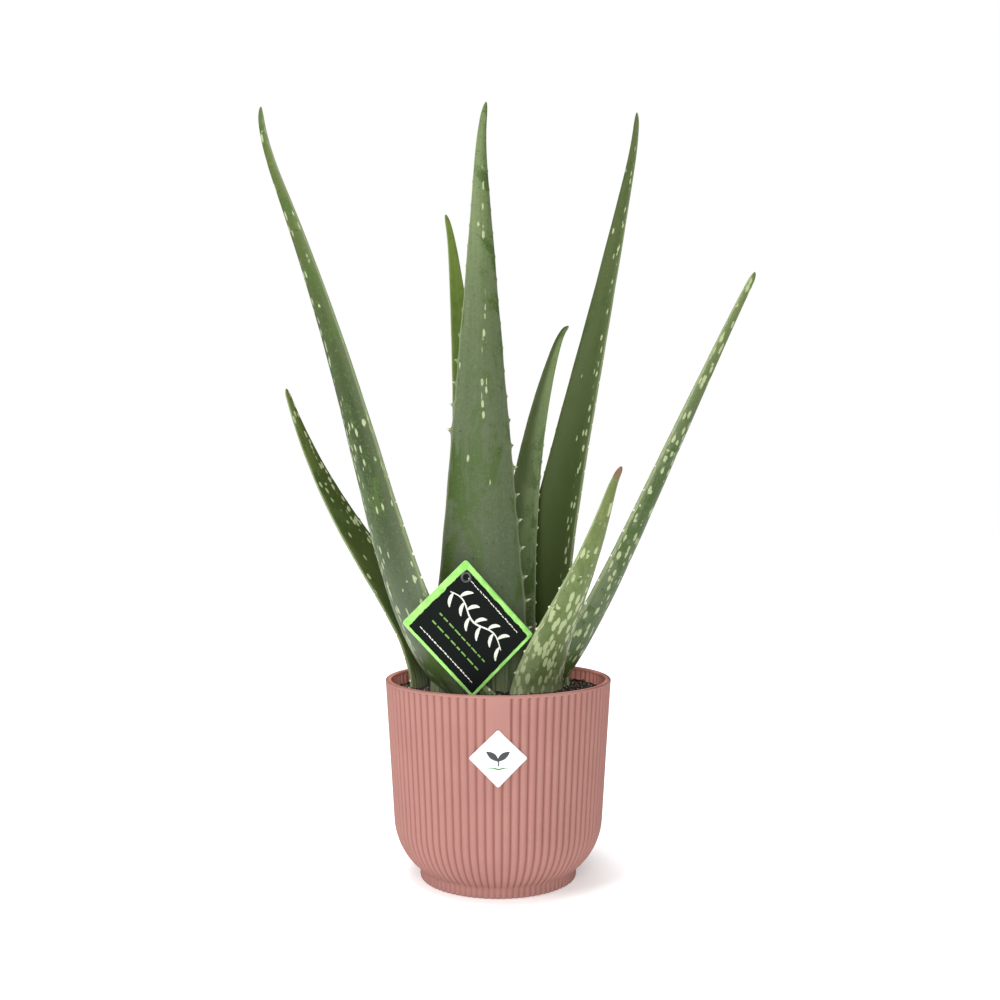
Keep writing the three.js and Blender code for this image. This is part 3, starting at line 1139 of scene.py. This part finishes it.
    def skin(self, points: np.ndarray, marks: np.ndarray) -> bpy.types.Object:
        """Wraps a grid round the sections.

        Args:
            points: the places of the grid's vertices, in millimetres.
            marks: what the material reads at each of them: its place on the flattened leaf, across,
                share, side and tooth.

        Returns:
            The leaf.
        """
        numbers = ("across", "share", "side", "tooth")
        bm, known = grid_sheet(self.around, len(points) - 1, ["place"], numbers)
        place = bm.verts.layers.float_vector["place"]
        layers = [bm.verts.layers.float[name] for name in numbers]
        for vert, column, row in known:
            vert.co = Vector(points[row, column]) * MM
            vert[place] = Vector(marks[row, column, :3]) * MM
            for layer, value in zip(layers, marks[row, column, 3:]):
                vert[layer] = value
        close_up(bm)
        name = self.form.node
        finish = self.form.finish.material(name + "_skin")
        leaf = add_piece(name + "_skin", bm, [finish], self.form.slot)
        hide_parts(name)
        return leaf

    def covers(self, x: float, y: float) -> bool:
        """Whether the leaf's foot covers a point of the soil, in millimetres.

        Args:
            x: the point's place to the right.
            y: the point's place towards the back.

        Returns:
            True where nothing can lie.
        """
        foot = self.foot()
        _, across, _ = self.frame_at(0.0)
        away = Vector((x - foot.x, y - foot.y))
        sideways = away.dot(across.xy) / (self.form.width * 0.46)
        outwards = away.dot(polar(1.0, self.form.azimuth, 0.0).xy) - 0.33 * self.form.thickness
        return sideways ** 2 + (outwards / (self.form.thickness * 0.42)) ** 2 < 1


BLOOM = LeafFinish(
    spots=Spots(low=0.0, high=0.04, line=1.2, line_at=0.08, line_width=0.15, size=0.0026))
BRIGHT = LeafFinish(
    low=(0.07, 0.105, 0.03), middle=(0.085, 0.13, 0.026), high=(0.17, 0.24, 0.042),
    inner=(0.075, 0.12, 0.018), rubbed=0.6, spots=Spots(low=0.0, high=0.03))
# The young leaf has painted shade on one side, where the front leaf shadows it.
YOUNG = LeafFinish(
    low=(0.12, 0.165, 0.07), middle=(0.145, 0.195, 0.085), high=(0.14, 0.19, 0.055),
    inner=(0.03, 0.048, 0.006), inner_depth=0.3, painted_shade=0.9, spots=Spots(low=0.02, high=0.02))
DEEP = LeafFinish(
    low=(0.05, 0.08, 0.02), middle=(0.09, 0.12, 0.04), high=(0.085, 0.11, 0.03),
    inner=(0.038, 0.058, 0.012), inner_depth=0.95,
    spots=Spots(low=0.0, high=0.03, line=1.2, line_at=-0.74, line_width=0.15, line_from=0.1, size=0.0024))
# This leaf has painted shade on one half.
SHADED = LeafFinish(
    low=(0.05, 0.072, 0.018), middle=(0.085, 0.12, 0.024), high=(0.17, 0.22, 0.055),
    inner=(0.03, 0.044, 0.006), inner_depth=0.6, painted_shade=0.6, painted_shade_from=0.45,
    spots=Spots(low=0.1, high=0.3, line=1.2, line_at=-0.6, line_width=0.35, line_from=0.1, size=0.0022,
                radius=0.38))
SPOTTED = LeafFinish(
    low=(0.19, 0.235, 0.11), middle=(0.12, 0.16, 0.05), high=(0.15, 0.18, 0.05), low_to=0.35,
    rubbed=0.4, dry_from=0.97, spots=Spots(low=3.5, high=0.6, size=0.0028, radius=0.47))
STREAKED = LeafFinish(
    low=(0.09, 0.122, 0.064), middle=(0.085, 0.116, 0.05), high=(0.12, 0.155, 0.045),
    spots=Spots(low=0.9, high=1.3, size=0.0026, radius=0.36))
FLECKED = LeafFinish(
    low=(0.09, 0.112, 0.074), middle=(0.024, 0.04, 0.01), high=(0.08, 0.105, 0.02), low_to=0.42,
    flesh=(0.045, 0.085, 0.012),
    spots=Spots(low=0.25, high=0.5, line=1.6, line_at=-0.55, line_width=0.5, line_from=0.05, size=0.0025,
                radius=0.36))

LEAVES = [
    LeafForm("young_leaf", 0.29, 59, 66, 0, (7, -2, 44), 27, 7, 274, 35, 9, 14, YOUNG,
             slot="young_leaf", tooth=1.0, pitch=13, hollow=0.7),
    LeafForm("front_tall_leaf", 0.38, 236, 269, 25, (16, 4, -2), 36, 0, 356, 63, 15, 18, BLOOM,
             tooth=4.0, bare=0.42),
    LeafForm("back_left_leaf", 0.32, 112, 115, 0, (11, 7, 16), 19, 0, 326, 50, 12, 20, BRIGHT, tooth=1.2),
    LeafForm("right_tall_leaf", 0.61, 29, 39, 0, (-5, 19, 15), -12, 12, 396, 48, 13, 24, DEEP, tooth=1.0),
    LeafForm("front_right_leaf", 0.61, 320, 307, 0, (6, 45, 22), 24, 0, 158, 41, 12, 27, SPOTTED,
             tooth=1.8),
    LeafForm("left_tall_leaf", 0.45, 228, 211, 0, (54, 8, 25), -23, 6, 365, 53, 13.5, 32, FLECKED,
             tooth=1.2),
    LeafForm("right_outer_leaf", 0.5, 9, 346, 0, (42, 24, 26), 3, -15, 289, 30, 13.5, 40, STREAKED,
             tooth=0.8, tip=6.5),
    LeafForm("left_short_leaf", 0.84, 165, 159, 0, (2, 54, 20), 0, -25, 224, 42, 11, 46, SHADED,
             tooth=1.0),
]


@dataclass
class Crown:
    """The eight leaves, and the stem and roots in the soil."""

    crown_radius: float
    soil_level: float

    def leaves(self) -> list[Leaf]:
        """The leaves' builders."""
        return [Leaf(form, self.crown_radius, self.soil_level) for form in LEAVES]

    def build(self) -> None:
        """Builds the leaves and dresses the buried pieces."""
        for leaf in self.leaves():
            leaf.build()
        stem = PlainFinish("fibrous_stem", (0.2, 0.22, 0.08), (0.3, 0.27, 0.14), 0.004, 0.75, 0.6)
        root = PlainFinish("dry_root", (0.3, 0.2, 0.1), (0.42, 0.3, 0.17), 0.003, 0.8, 0.5)
        skins = {"stem": stem.material(), "root": root.material()}
        for name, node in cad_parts.items():
            kind = name.split("_")[0]
            if kind in skins:
                node.data.materials.clear()
                node.data.materials.append(skins[kind])


# ---------------------------------------------------------------------------------------------------
# Soil
# ---------------------------------------------------------------------------------------------------


class Litter(Enum):
    """What lies in the soil, with how many, their sizes in millimetres and their tones."""

    CRUMBS = (7000, 0.3, 0.95, 0.0, 1.0)
    LUMPS = (200, 0.7, 1.4, 0.0, 0.6)
    FIBRES = (330, 0.12, 0.26, 0.6, 1.0)
    SPECKS = (1300, 0.16, 0.5, 1.0, 1.0)


@dataclass
class Soil:
    """The soil: one mounded body, and the crumbs, fibres and pale specks on it."""

    pot: Pot
    leaves: list[Leaf]
    below_rim: float = 8.0
    mound: float = 4.0
    clearance: float = 0.3
    rings: int = 46
    steps: int = 170
    bumps: tuple[tuple[float, float, int], ...] = ((1.17, 0.06, 3), (0.72, 0.19, 9), (0.3, 0.6, 20))
    batch: int = 130

    def level(self) -> float:
        """The height of the soil's edge in millimetres."""
        return self.pot.height - self.below_rim

    def edge_radius(self) -> float:
        """The radius of the soil's edge in millimetres."""
        return self.pot.outer_radius(self.level()) - self.pot.wall - 2 * self.clearance

    def height_at(self, x: float, y: float) -> float:
        """The soil's height at a point, with its bumps, in millimetres.

        Args:
            x: the point's place to the right.
            y: the point's place towards the back.

        Returns:
            The height.
        """
        share = min(1.0, math.hypot(x, y) / self.edge_radius())
        height = self.level() + self.mound * (1 - share ** 2)
        for rise, fineness, layer in self.bumps:
            height += rise * noise.noise(Vector((x, y, layer)) * fineness)
        return height

    def body(self) -> bpy.types.Object:
        """Builds the soil's body.

        Returns:
            The body, in place of its CAD node.
        """
        top, edge = self.level(), self.edge_radius()
        side = self.pot.wall_outline(self.pot.wall + self.clearance, self.pot.floor + self.clearance, 5)
        side = [(r, z) for r, z in side if z < top - 3][::2]
        rings = [(edge * (1 - row / self.rings), top) for row in range(self.rings)]
        profile = [(0.0, side[0][1]), *side, (edge, top - 2), *rings, (0.0, top)]
        bm = turn([(r * MM, z * MM) for r, z in profile], self.steps, "tone")
        for vert in bm.verts:
            if vert.co.z > (top - 1) * MM:
                vert.co.z = self.height_at(vert.co.x / MM, vert.co.y / MM) * MM
        soil = add_piece("potting_soil", bm, [SoilFinish().material("moist_peat")], "soil")
        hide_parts("soil")
        return soil

    def scatter(self, kind: Litter, rng: random.Random) -> list[tuple[Matrix, float]]:
        """Places one kind of litter.

        Args:
            kind: what is scattered.
            rng: the source of its unevenness.

        Returns:
            Each grain's place as a matrix, in metres, and its tone.
        """
        count, small, large, dark, pale = kind.value
        grains = []
        while len(grains) < count:
            radius = (self.edge_radius() - 1.0) * math.sqrt(rng.random())
            spot = polar(radius, rng.uniform(0, 360), 0)
            if any(leaf.covers(spot.x, spot.y) for leaf in self.leaves):
                continue
            size = small + (large - small) * rng.random() ** 2
            spot.z = self.height_at(spot.x, spot.y) + size * rng.uniform(-0.2, 0.55)
            stretch = [rng.uniform(0.65, 1.35) for _ in range(3)]
            if kind is Litter.FIBRES:
                stretch = [rng.uniform(5, 13), 1.0, 0.7]
            spun = Matrix.Rotation(rng.uniform(0, 2 * math.pi), 4, "Z")
            tilted = Matrix.Rotation(rng.uniform(-0.6, 0.6), 4, "Y")
            sized = Matrix.Diagonal([*(size * MM * s for s in stretch), 1.0])
            place = Matrix.Translation(spot * MM) @ spun @ tilted @ sized
            grains.append((place, rng.uniform(dark, pale)))
        return grains

    def grains(self, name: str, kinds: Sequence[Litter], material: bpy.types.Material, seed: int) -> None:
        """Builds one piece from scattered grains.

        Args:
            name: the piece's name.
            kinds: the litter it holds.
            material: its material.
            seed: the seed of its scatter.
        """
        rng = random.Random(seed)
        placed = [grain for kind in kinds for grain in self.scatter(kind, rng)]
        whole = bmesh.new()
        scratch = bpy.data.meshes.new("batch")
        whole.verts.layers.float.new("tone")
        for first in range(0, len(placed), self.batch):
            part = bmesh.new()
            tones = part.verts.layers.float.new("tone")
            for matrix, tone in placed[first:first + self.batch]:
                made = bmesh.ops.create_icosphere(part, subdivisions=1, radius=1.0, matrix=matrix)
                for vert in made["verts"]:
                    vert[tones] = tone
            part.to_mesh(scratch)
            part.free()
            whole.from_mesh(scratch)
        bpy.data.meshes.remove(scratch)
        add_piece(name, whole, [material], "soil", smooth=False)

    def build(self) -> None:
        """Builds the soil and its litter."""
        self.body()
        peat = SoilFinish().material("peat_crumbs")
        self.grains("soil_crumbs", [Litter.CRUMBS, Litter.LUMPS, Litter.FIBRES], peat, 11)
        pale = PlainFinish("pale_specks", (0.8, 0.76, 0.68), (0.45, 0.38, 0.3), 0.001, 0.6, 0.2)
        self.grains("soil_specks", [Litter.SPECKS], pale.material(), 23)


# ---------------------------------------------------------------------------------------------------
# Label and sticker
# ---------------------------------------------------------------------------------------------------


Path = Callable[[float], Vector]
Seat = Callable[[Vector], Vector]


def turned(flat: Vector, degrees: float) -> Vector:
    """A flat vector, turned anticlockwise."""
    return Matrix.Rotation(math.radians(degrees), 2) @ flat


def rounded_point(across: float, up: float, size: tuple[float, float], corner: float) -> Vector:
    """A point of a flat sheet whose corners are rounded.

    Args:
        across: its share of the width, from 0 to 1.
        up: its share of the height.
        size: the sheet's width and height.
        corner: the radius of its corners.

    Returns:
        The point, measured from the sheet's middle.
    """
    flat = Vector((size[0] * (across - 0.5), size[1] * (up - 0.5)))
    straight = Vector((size[0] / 2 - corner, size[1] / 2 - corner))
    over = Vector((max(0.0, abs(flat.x) - straight.x), max(0.0, abs(flat.y) - straight.y)))
    if over.length > corner:
        over *= corner / over.length
        flat.x = math.copysign(straight.x + over.x, flat.x)
        flat.y = math.copysign(straight.y + over.y, flat.y)
    return flat


@dataclass(frozen=True)
class Stroke:
    """A flat brush stroke: its middle line and its width, in millimetres, and how many steps it has."""

    path: Path
    width: Callable[[float], float]
    steps: int

    def add(self, bm: bmesh.types.BMesh, seat: Seat) -> None:
        """Adds the stroke to a shape.

        Args:
            bm: the shape.
            seat: where a point of the flat sheet is in the object, in metres.
        """
        made = bmesh.ops.create_grid(bm, x_segments=self.steps, y_segments=1, size=0.5)
        for vert in made["verts"]:
            at = vert.co.x + 0.5
            ahead = self.path(min(1.0, at + 0.01)) - self.path(max(0.0, at - 0.01))
            normal = Vector((-ahead.y, ahead.x)).normalized()
            vert.co = seat(self.path(at) + normal * self.width(at) * vert.co.y)


def line(start: tuple[float, float], end: tuple[float, float], width: float, steps: int) -> Stroke:
    """A straight stroke of one width."""
    return Stroke(lambda t: Vector(start).lerp(Vector(end), t), lambda t: width, steps)


def print_ink(name: str, slot: str, finish: PlainFinish, strokes: Sequence[Stroke], seat: Seat,
              thickness: float) -> None:
    """Builds printed strokes as one thin piece.

    Args:
        name: the piece's name.
        slot: the record's material slot.
        finish: the ink.
        strokes: the strokes.
        seat: where a point of the flat sheet is, just in front of its face, in metres.
        thickness: the ink's thickness in millimetres.
    """
    bm = bmesh.new()
    for stroke in strokes:
        stroke.add(bm, seat)
    bmesh.ops.recalc_face_normals(bm, faces=bm.faces)
    thicken(add_piece(name, bm, [finish.material()], slot, smooth=False), thickness)


@dataclass
class Label:
    """The plant label: a bowed card turned on its corner, with a point in the soil."""

    centre: Vector
    width: float = 62.0
    height: float = 52.0
    thickness: float = 0.8
    turned: float = 47.0
    yaw: float = 20.0
    pitch: float = -1.0
    bow: float = 1.1
    borders: tuple[float, float, float, float] = (4.0, 3.3, 1.9, 1.6)
    corner: float = 1.6
    cells: tuple[int, int] = (62, 52)
    spike_width: float = 9.0
    spike_length: float = 24.0
    spike_cells: tuple[int, int] = (6, 16)
    spike_overlap: float = 6.0
    spike_thickness: float = 0.64
    ink_lift: float = 0.04
    ink_thickness: float = 0.06
    eyelet_inset: tuple[float, float] = (7.5, 7.0)
    eyelet_rings: tuple[tuple[float, float], ...] = (
        (3.3, 0.3), (3.2, 0.62), (2.6, 0.72), (2.1, 0.55), (1.7, 0.3))
    eyelet_sides: int = 28

    def seat(self, flat: Vector, out: float = 0.0) -> Vector:
        """Where a point of the flat card is.

        Args:
            flat: the point, in millimetres from the card's middle, before it is turned.
            out: how far in front of the card's middle plane, in millimetres.

        Returns:
            The place in metres.
        """
        x, z = turned(flat, -self.turned)
        curl = self.bow * (1 - (2 * flat.x / self.width) ** 2) - 0.6 * self.bow
        point = Matrix.Rotation(-math.radians(self.pitch), 3, "X") @ Vector((x, -out - curl, z))
        return (self.centre + Matrix.Rotation(math.radians(self.yaw), 3, "Z") @ point) * MM

    def card(self) -> None:
        """Builds the card, whose vertices know how far in from the edge and on which side they are."""
        half_w, half_h = self.width / 2, self.height / 2
        bm, known = grid_sheet(*self.cells, ["card"])
        layer = bm.verts.layers.float_vector["card"]
        for vert, column, row in known:
            share = (column / self.cells[0], row / self.cells[1])
            flat = rounded_point(*share, (self.width, self.height), self.corner)
            sides = (half_w + flat.x, half_h - flat.y, half_w - flat.x, half_h + flat.y)
            inset = min(away / wide for away, wide in zip(sides, self.borders))
            vert[layer] = Vector((inset, 1.0, 0.0))
            vert.co = (flat.x, flat.y, 0.0)
        thick = bmesh.ops.extrude_face_region(bm, geom=list(bm.faces))
        back = {part for part in thick["geom"] if isinstance(part, bmesh.types.BMVert)}
        for vert in bm.verts:
            out = self.thickness / 2
            if vert in back:
                vert[layer] = Vector((vert[layer].x, 0.0, 0.0))
                out = -out
            vert.co = self.seat(Vector(vert.co.xy), out)
        bmesh.ops.recalc_face_normals(bm, faces=bm.faces)
        card = add_piece("label_card", bm, [CardFinish().material()], "label", smooth=False)
        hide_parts("plant_label")

    def spike(self) -> None:
        """Builds the point that stands in the soil, below the card's lowest corner."""
        low = Vector((self.width / 2, -self.height / 2))
        way = turned(Vector((0, -1)), self.turned)
        sideways = turned(Vector((1, 0)), self.turned)
        columns, rows = self.spike_cells
        bm, known = grid_sheet(columns, rows)
        for vert, column, row in known:
            share = row / rows
            half = self.spike_width / 2 * (1 - share ** 1.6) + 0.4
            down = (self.spike_overlap + self.spike_length) * share - self.spike_overlap
            vert.co = self.seat(low + way * down + sideways * (column / (columns / 2) - 1) * half)
        plastic = PlainFinish("spike_plastic", (0.02, 0.02, 0.024), (0.03, 0.03, 0.034), 0.004, 0.4, 0.05)
        thicken(add_piece("label_spike", bm, [plastic.material()], "label"), self.spike_thickness)

    def eyelet(self) -> None:
        """Builds the small dark ring in the card's upper corner."""
        bm = bmesh.new()
        middle = Vector((self.eyelet_inset[0] - self.width / 2, self.height / 2 - self.eyelet_inset[1]))
        rings = []
        for radius, out in self.eyelet_rings:
            ring = bmesh.ops.create_circle(bm, segments=self.eyelet_sides, radius=radius)["verts"]
            for vert in ring:
                vert.co = self.seat(middle + Vector(vert.co.xy), out)
            rings.append(ring)
        for low, high in zip(rings, rings[1:] + rings[:1]):
            edges = [e for e in bm.edges if all(v in low for v in e.verts) or all(v in high for v in e.verts)]
            bmesh.ops.bridge_loops(bm, edges=edges)
        bmesh.ops.recalc_face_normals(bm, faces=bm.faces)
        plastic = PlainFinish("eyelet_plastic", (0.03, 0.03, 0.034), (0.06, 0.06, 0.065), 0.002, 0.35,
                              0.03, 0.3)
        add_piece("label_eyelet", bm, [plastic.material()], "label")

    def rules(self, rng: random.Random) -> list[Stroke]:
        """The two broken chalk lines along the card's long sides.

        Args:
            rng: the source of their unevenness.

        Returns:
            The strokes.
        """
        strokes = []
        for y in (19.5, -20.0):
            x = -22.0
            while x < 23.0:
                length, wide = rng.uniform(1.2, 2.2), rng.uniform(0.4, 0.65)
                start = (x, y + rng.uniform(-0.2, 0.2))
                strokes.append(line(start, (x + length, y + rng.uniform(-0.2, 0.2)), wide, 3))
                x += length + rng.uniform(0.3, 0.7)
        return strokes

    def garland(self, rng: random.Random) -> list[Stroke]:
        """The chalk garland: a wavy stem with a leaf to each side by turns.

        Args:
            rng: the source of its unevenness.

        Returns:
            The strokes.
        """

        def stem(t: float) -> Vector:
            """The stem's middle line."""
            return Vector((-24 + 47 * t, 6.5 + 2.2 * math.sin(t * 3.2 * math.pi)))

        strokes = [Stroke(stem, lambda t: 1.1 - 0.5 * abs(2 * t - 1), 60)]
        for index in range(11):
            root = stem(0.04 + 0.092 * index)
            up = 1 if index % 2 else -1
            tip = root + Vector((4.2, 7.0 * up + rng.uniform(-0.6, 0.6)))
            bend = root + Vector((0.2, 4.6 * up))
            strokes.append(Stroke(lambda t, a=root, b=bend, c=tip: a.lerp(b, t).lerp(b.lerp(c, t), t),
                                  lambda t: 0.5 + 1.7 * math.sin(math.pi * min(1.0, t * 1.02)) ** 0.8, 12))
        return strokes

    def dashes(self, rng: random.Random) -> list[Stroke]:
        """Two rows of green dashes, which stand for lines of writing.

        Args:
            rng: the source of their unevenness.

        Returns:
            The strokes.
        """
        strokes = []
        for y, wide in ((-6.5, 0.84), (-12.5, 0.882)):
            x = -19.5
            while x < 19.5:
                length = rng.uniform(2.2, 5.2)
                strokes.append(line((x, y), (x + length, y), wide, 4))
                x += length + rng.uniform(0.9, 1.7)
        return strokes

    def artwork(self) -> None:
        """Prints the card's drawing in two inks."""
        rng = random.Random(5)
        white = PlainFinish("white_ink", (0.8, 0.83, 0.74), (0.55, 0.6, 0.5), 0.0012, 0.6, 0.02)
        green = PlainFinish("green_ink", (0.2, 0.42, 0.08), (0.11, 0.24, 0.05), 0.0012, 0.6, 0.02)
        chalk = self.rules(rng) + self.garland(rng)
        for name, ink, strokes in (("label_chalk", white, chalk), ("label_dashes", green, self.dashes(rng))):
            print_ink(name, "label", ink, strokes,
                      lambda flat: self.seat(flat, self.thickness / 2 + self.ink_lift), self.ink_thickness)

    def build(self) -> None:
        """Builds the label."""
        self.card()
        self.spike()
        self.eyelet()
        self.artwork()


@dataclass
class Sticker:
    """The diamond sticker, bent round the pot's front."""

    pot: Pot
    side: float = 23.6
    thickness: float = 0.4
    below_rim: float = 35.7
    off_wall: float = 0.3
    corner: float = 0.9
    cells: int = 28
    turned: float = 45.0
    ink_lift: float = 0.03
    ink_thickness: float = 0.05

    def seat(self, flat: Vector, out: float) -> Vector:
        """Where a point of the flat, turned sheet is, in metres."""
        x, z = turned(flat, self.turned)
        return self.pot.on_wall(x, self.pot.height - self.below_rim + z, self.off_wall + out)

    def sheet(self) -> None:
        """Builds the sheet."""
        bm, known = grid_sheet(self.cells, self.cells)
        for vert, column, row in known:
            share = (column / self.cells, row / self.cells)
            flat = rounded_point(*share, (self.side, self.side), self.corner)
            vert.co = self.seat(flat, self.thickness / 2)
        bmesh.ops.recalc_face_normals(bm, faces=bm.faces)
        paper = PlainFinish("coated_paper", (0.8, 0.8, 0.78), (0.76, 0.76, 0.745), 0.004, 0.45, 0.02, 0.2)
        sheet = add_piece("sticker_sheet", bm, [paper.material()], "sticker")
        thicken(sheet, self.thickness)
        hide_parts("pot_sticker")

    def sprout(self) -> None:
        """Builds the printed sprout: a stem with two leaves, and a line of ground below it."""

        def upright(x: float, z: float) -> Vector:
            """A point of the sheet, given as it looks on the pot."""
            return turned(Vector((x, z)), -self.turned)

        def blade(sign: int) -> Stroke:
            """The leaf on one side."""
            return Stroke(lambda t: upright(sign * 6.6 * t, -1.6 + 5.6 * t ** 0.75),
                          lambda t: 0.3 + 3.3 * math.sin(math.pi * t ** 0.85) ** 0.9, 22)

        stem = Stroke(lambda t: upright(0.35 * math.sin(3 * t), -4.2 + 3.2 * t), lambda t: 0.75, 8)
        ground = Stroke(lambda t: upright(-5.6 + 11.2 * t, -5.6 + 0.35 * math.sin(9 * t)),
                        lambda t: 0.25 + 0.6 * math.sin(math.pi * t), 26)
        inks = (("sticker_sprout", (0.02, 0.025, 0.03), [stem, blade(1), blade(-1)]),
                ("sticker_ground", (0.03, 0.16, 0.05), [ground]))
        for name, colour, strokes in inks:
            lighter = tuple(c * 1.4 for c in colour)
            print_ink(name, "sticker", PlainFinish(name + "_ink", colour, lighter, 0.002, 0.5, 0.01), strokes,
                      lambda flat: self.seat(flat, self.thickness + self.ink_lift), self.ink_thickness)

    def build(self) -> None:
        """Builds the sticker."""
        self.sheet()
        self.sprout()


# ---------------------------------------------------------------------------------------------------
# Studio
# ---------------------------------------------------------------------------------------------------


class Lamp(Enum):
    """The soft lamps: the place of each in metres, its width in metres and its power in watts."""

    KEY = ((-1.4, -1.2, 1.3), 1.0, 19.0)
    FRONT = ((0.0, -1.8, 0.75), 1.2, 20.0)
    TOP = ((-0.5, -0.35, 2.1), 0.8, 16.0)


@dataclass
class Studio:
    """The camera, the pale floor and the soft lights."""

    eye: tuple[float, float, float] = (0.0011, -0.719, 0.2326)
    lens: float = 41.46
    aim: tuple[float, float, float] = (0.0, 0.0, 0.2)
    sky: float = 0.3
    glow: float = 0.8
    floor_half: float = 6.0
    floor_level: float = -0.0002
    shadow: tuple[float, float] = (0.047, 0.105)
    shadow_tone: Colour = (0.36, 0.36, 0.36)

    def stand(self, name: str, data: bpy.types.ID, place: Sequence[float]) -> bpy.types.Object:
        """Puts a camera, a lamp or the floor in the scene.

        Args:
            name: its name.
            data: the camera, the light or the mesh.
            place: where it stands, in metres.

        Returns:
            The new object.
        """
        made = bpy.data.objects.new(name, data)
        made.location = place
        bpy.context.scene.collection.objects.link(made)
        return made

    def camera(self) -> None:
        """Stands the camera level in front of the plant."""
        data = bpy.data.cameras.new("camera")
        data.lens = self.lens
        data.sensor_width = 36.0
        camera = self.stand("camera", data, self.eye)
        camera.rotation_euler = (math.radians(90), 0, 0)
        bpy.context.scene.camera = camera

    def floor(self) -> None:
        """Lays the floor, which glows a little less round the pot's foot."""
        bm = bmesh.new()
        bmesh.ops.create_grid(bm, x_segments=8, y_segments=8, size=self.floor_half)
        mesh = bpy.data.meshes.new("floor")
        bm.to_mesh(mesh)
        bm.free()
        paint = Paint("pale_floor")
        away = paint.node("ShaderNodeVectorMath", {"operation": "LENGTH"}, {0: paint.object_place()})
        lit = Num(paint, away.outputs["Value"]).between(*self.shadow)
        mesh.materials.append(paint.finish(
            Base_Color=(0.9, 0.9, 0.9),
            Roughness=0.9,
            Specular_IOR_Level=0.0,
            Emission_Color=paint.mix(lit, self.shadow_tone, (1.0, 1.0, 1.0)),
            Emission_Strength=self.glow,
        ))
        self.stand("floor", mesh, (0, 0, self.floor_level))

    def hang(self, lamp: Lamp) -> None:
        """Hangs one soft lamp that points at the plant.

        Args:
            lamp: which one.
        """
        place, size, power = lamp.value
        data = bpy.data.lights.new(lamp.name.lower(), "AREA")
        data.shape = "DISK"
        data.size = size
        data.energy = power
        aim = Vector(self.aim) - Vector(place)
        self.stand(lamp.name.lower(), data, place).rotation_euler = aim.to_track_quat("-Z", "Y").to_euler()

    def backdrop(self) -> None:
        """Surrounds the plant with dim even light that the camera sees as white."""
        world = bpy.data.worlds.new("studio")
        world.use_nodes = True
        nodes, links = world.node_tree.nodes, world.node_tree.links
        dim = nodes["Background"]
        white = nodes.new("ShaderNodeBackground")
        for background, strength in ((dim, self.sky), (white, 1.0)):
            background.inputs["Color"].default_value = (1, 1, 1, 1)
            background.inputs["Strength"].default_value = strength
        either = nodes.new("ShaderNodeMixShader")
        seen = nodes.new("ShaderNodeLightPath").outputs["Is Camera Ray"]
        for socket, link in enumerate((seen, dim.outputs[0], white.outputs[0])):
            links.new(link, either.inputs[socket])
        links.new(either.outputs[0], nodes["World Output"].inputs["Surface"])
        bpy.context.scene.world = world
        bpy.context.scene.view_settings.view_transform = "Standard"

    def build(self) -> None:
        """Sets up the studio."""
        self.camera()
        self.floor()
        for lamp in Lamp:
            self.hang(lamp)
        self.backdrop()


def main() -> None:
    """Builds the whole scene."""
    logging.basicConfig(level=logging.INFO, format="%(message)s")
    Studio().build()
    pot = Pot()
    level = pot.height - Soil.below_rim
    crown = Crown(crown_radius=pot.rim_radius - pot.wall - CROWN_INSET, soil_level=level)
    pot.build()
    crown.build()
    Soil(pot, crown.leaves()).build()
    front_leaf = next(form for form in LEAVES if form.node == "front_tall_leaf")
    before_leaf = front_leaf.reach * crown.crown_radius + LABEL_REACH
    Label(polar(before_leaf, LABEL_BEARING, level + LABEL_RISE)).build()
    Sticker(pot).build()


if __name__ == "__main__":
    main()
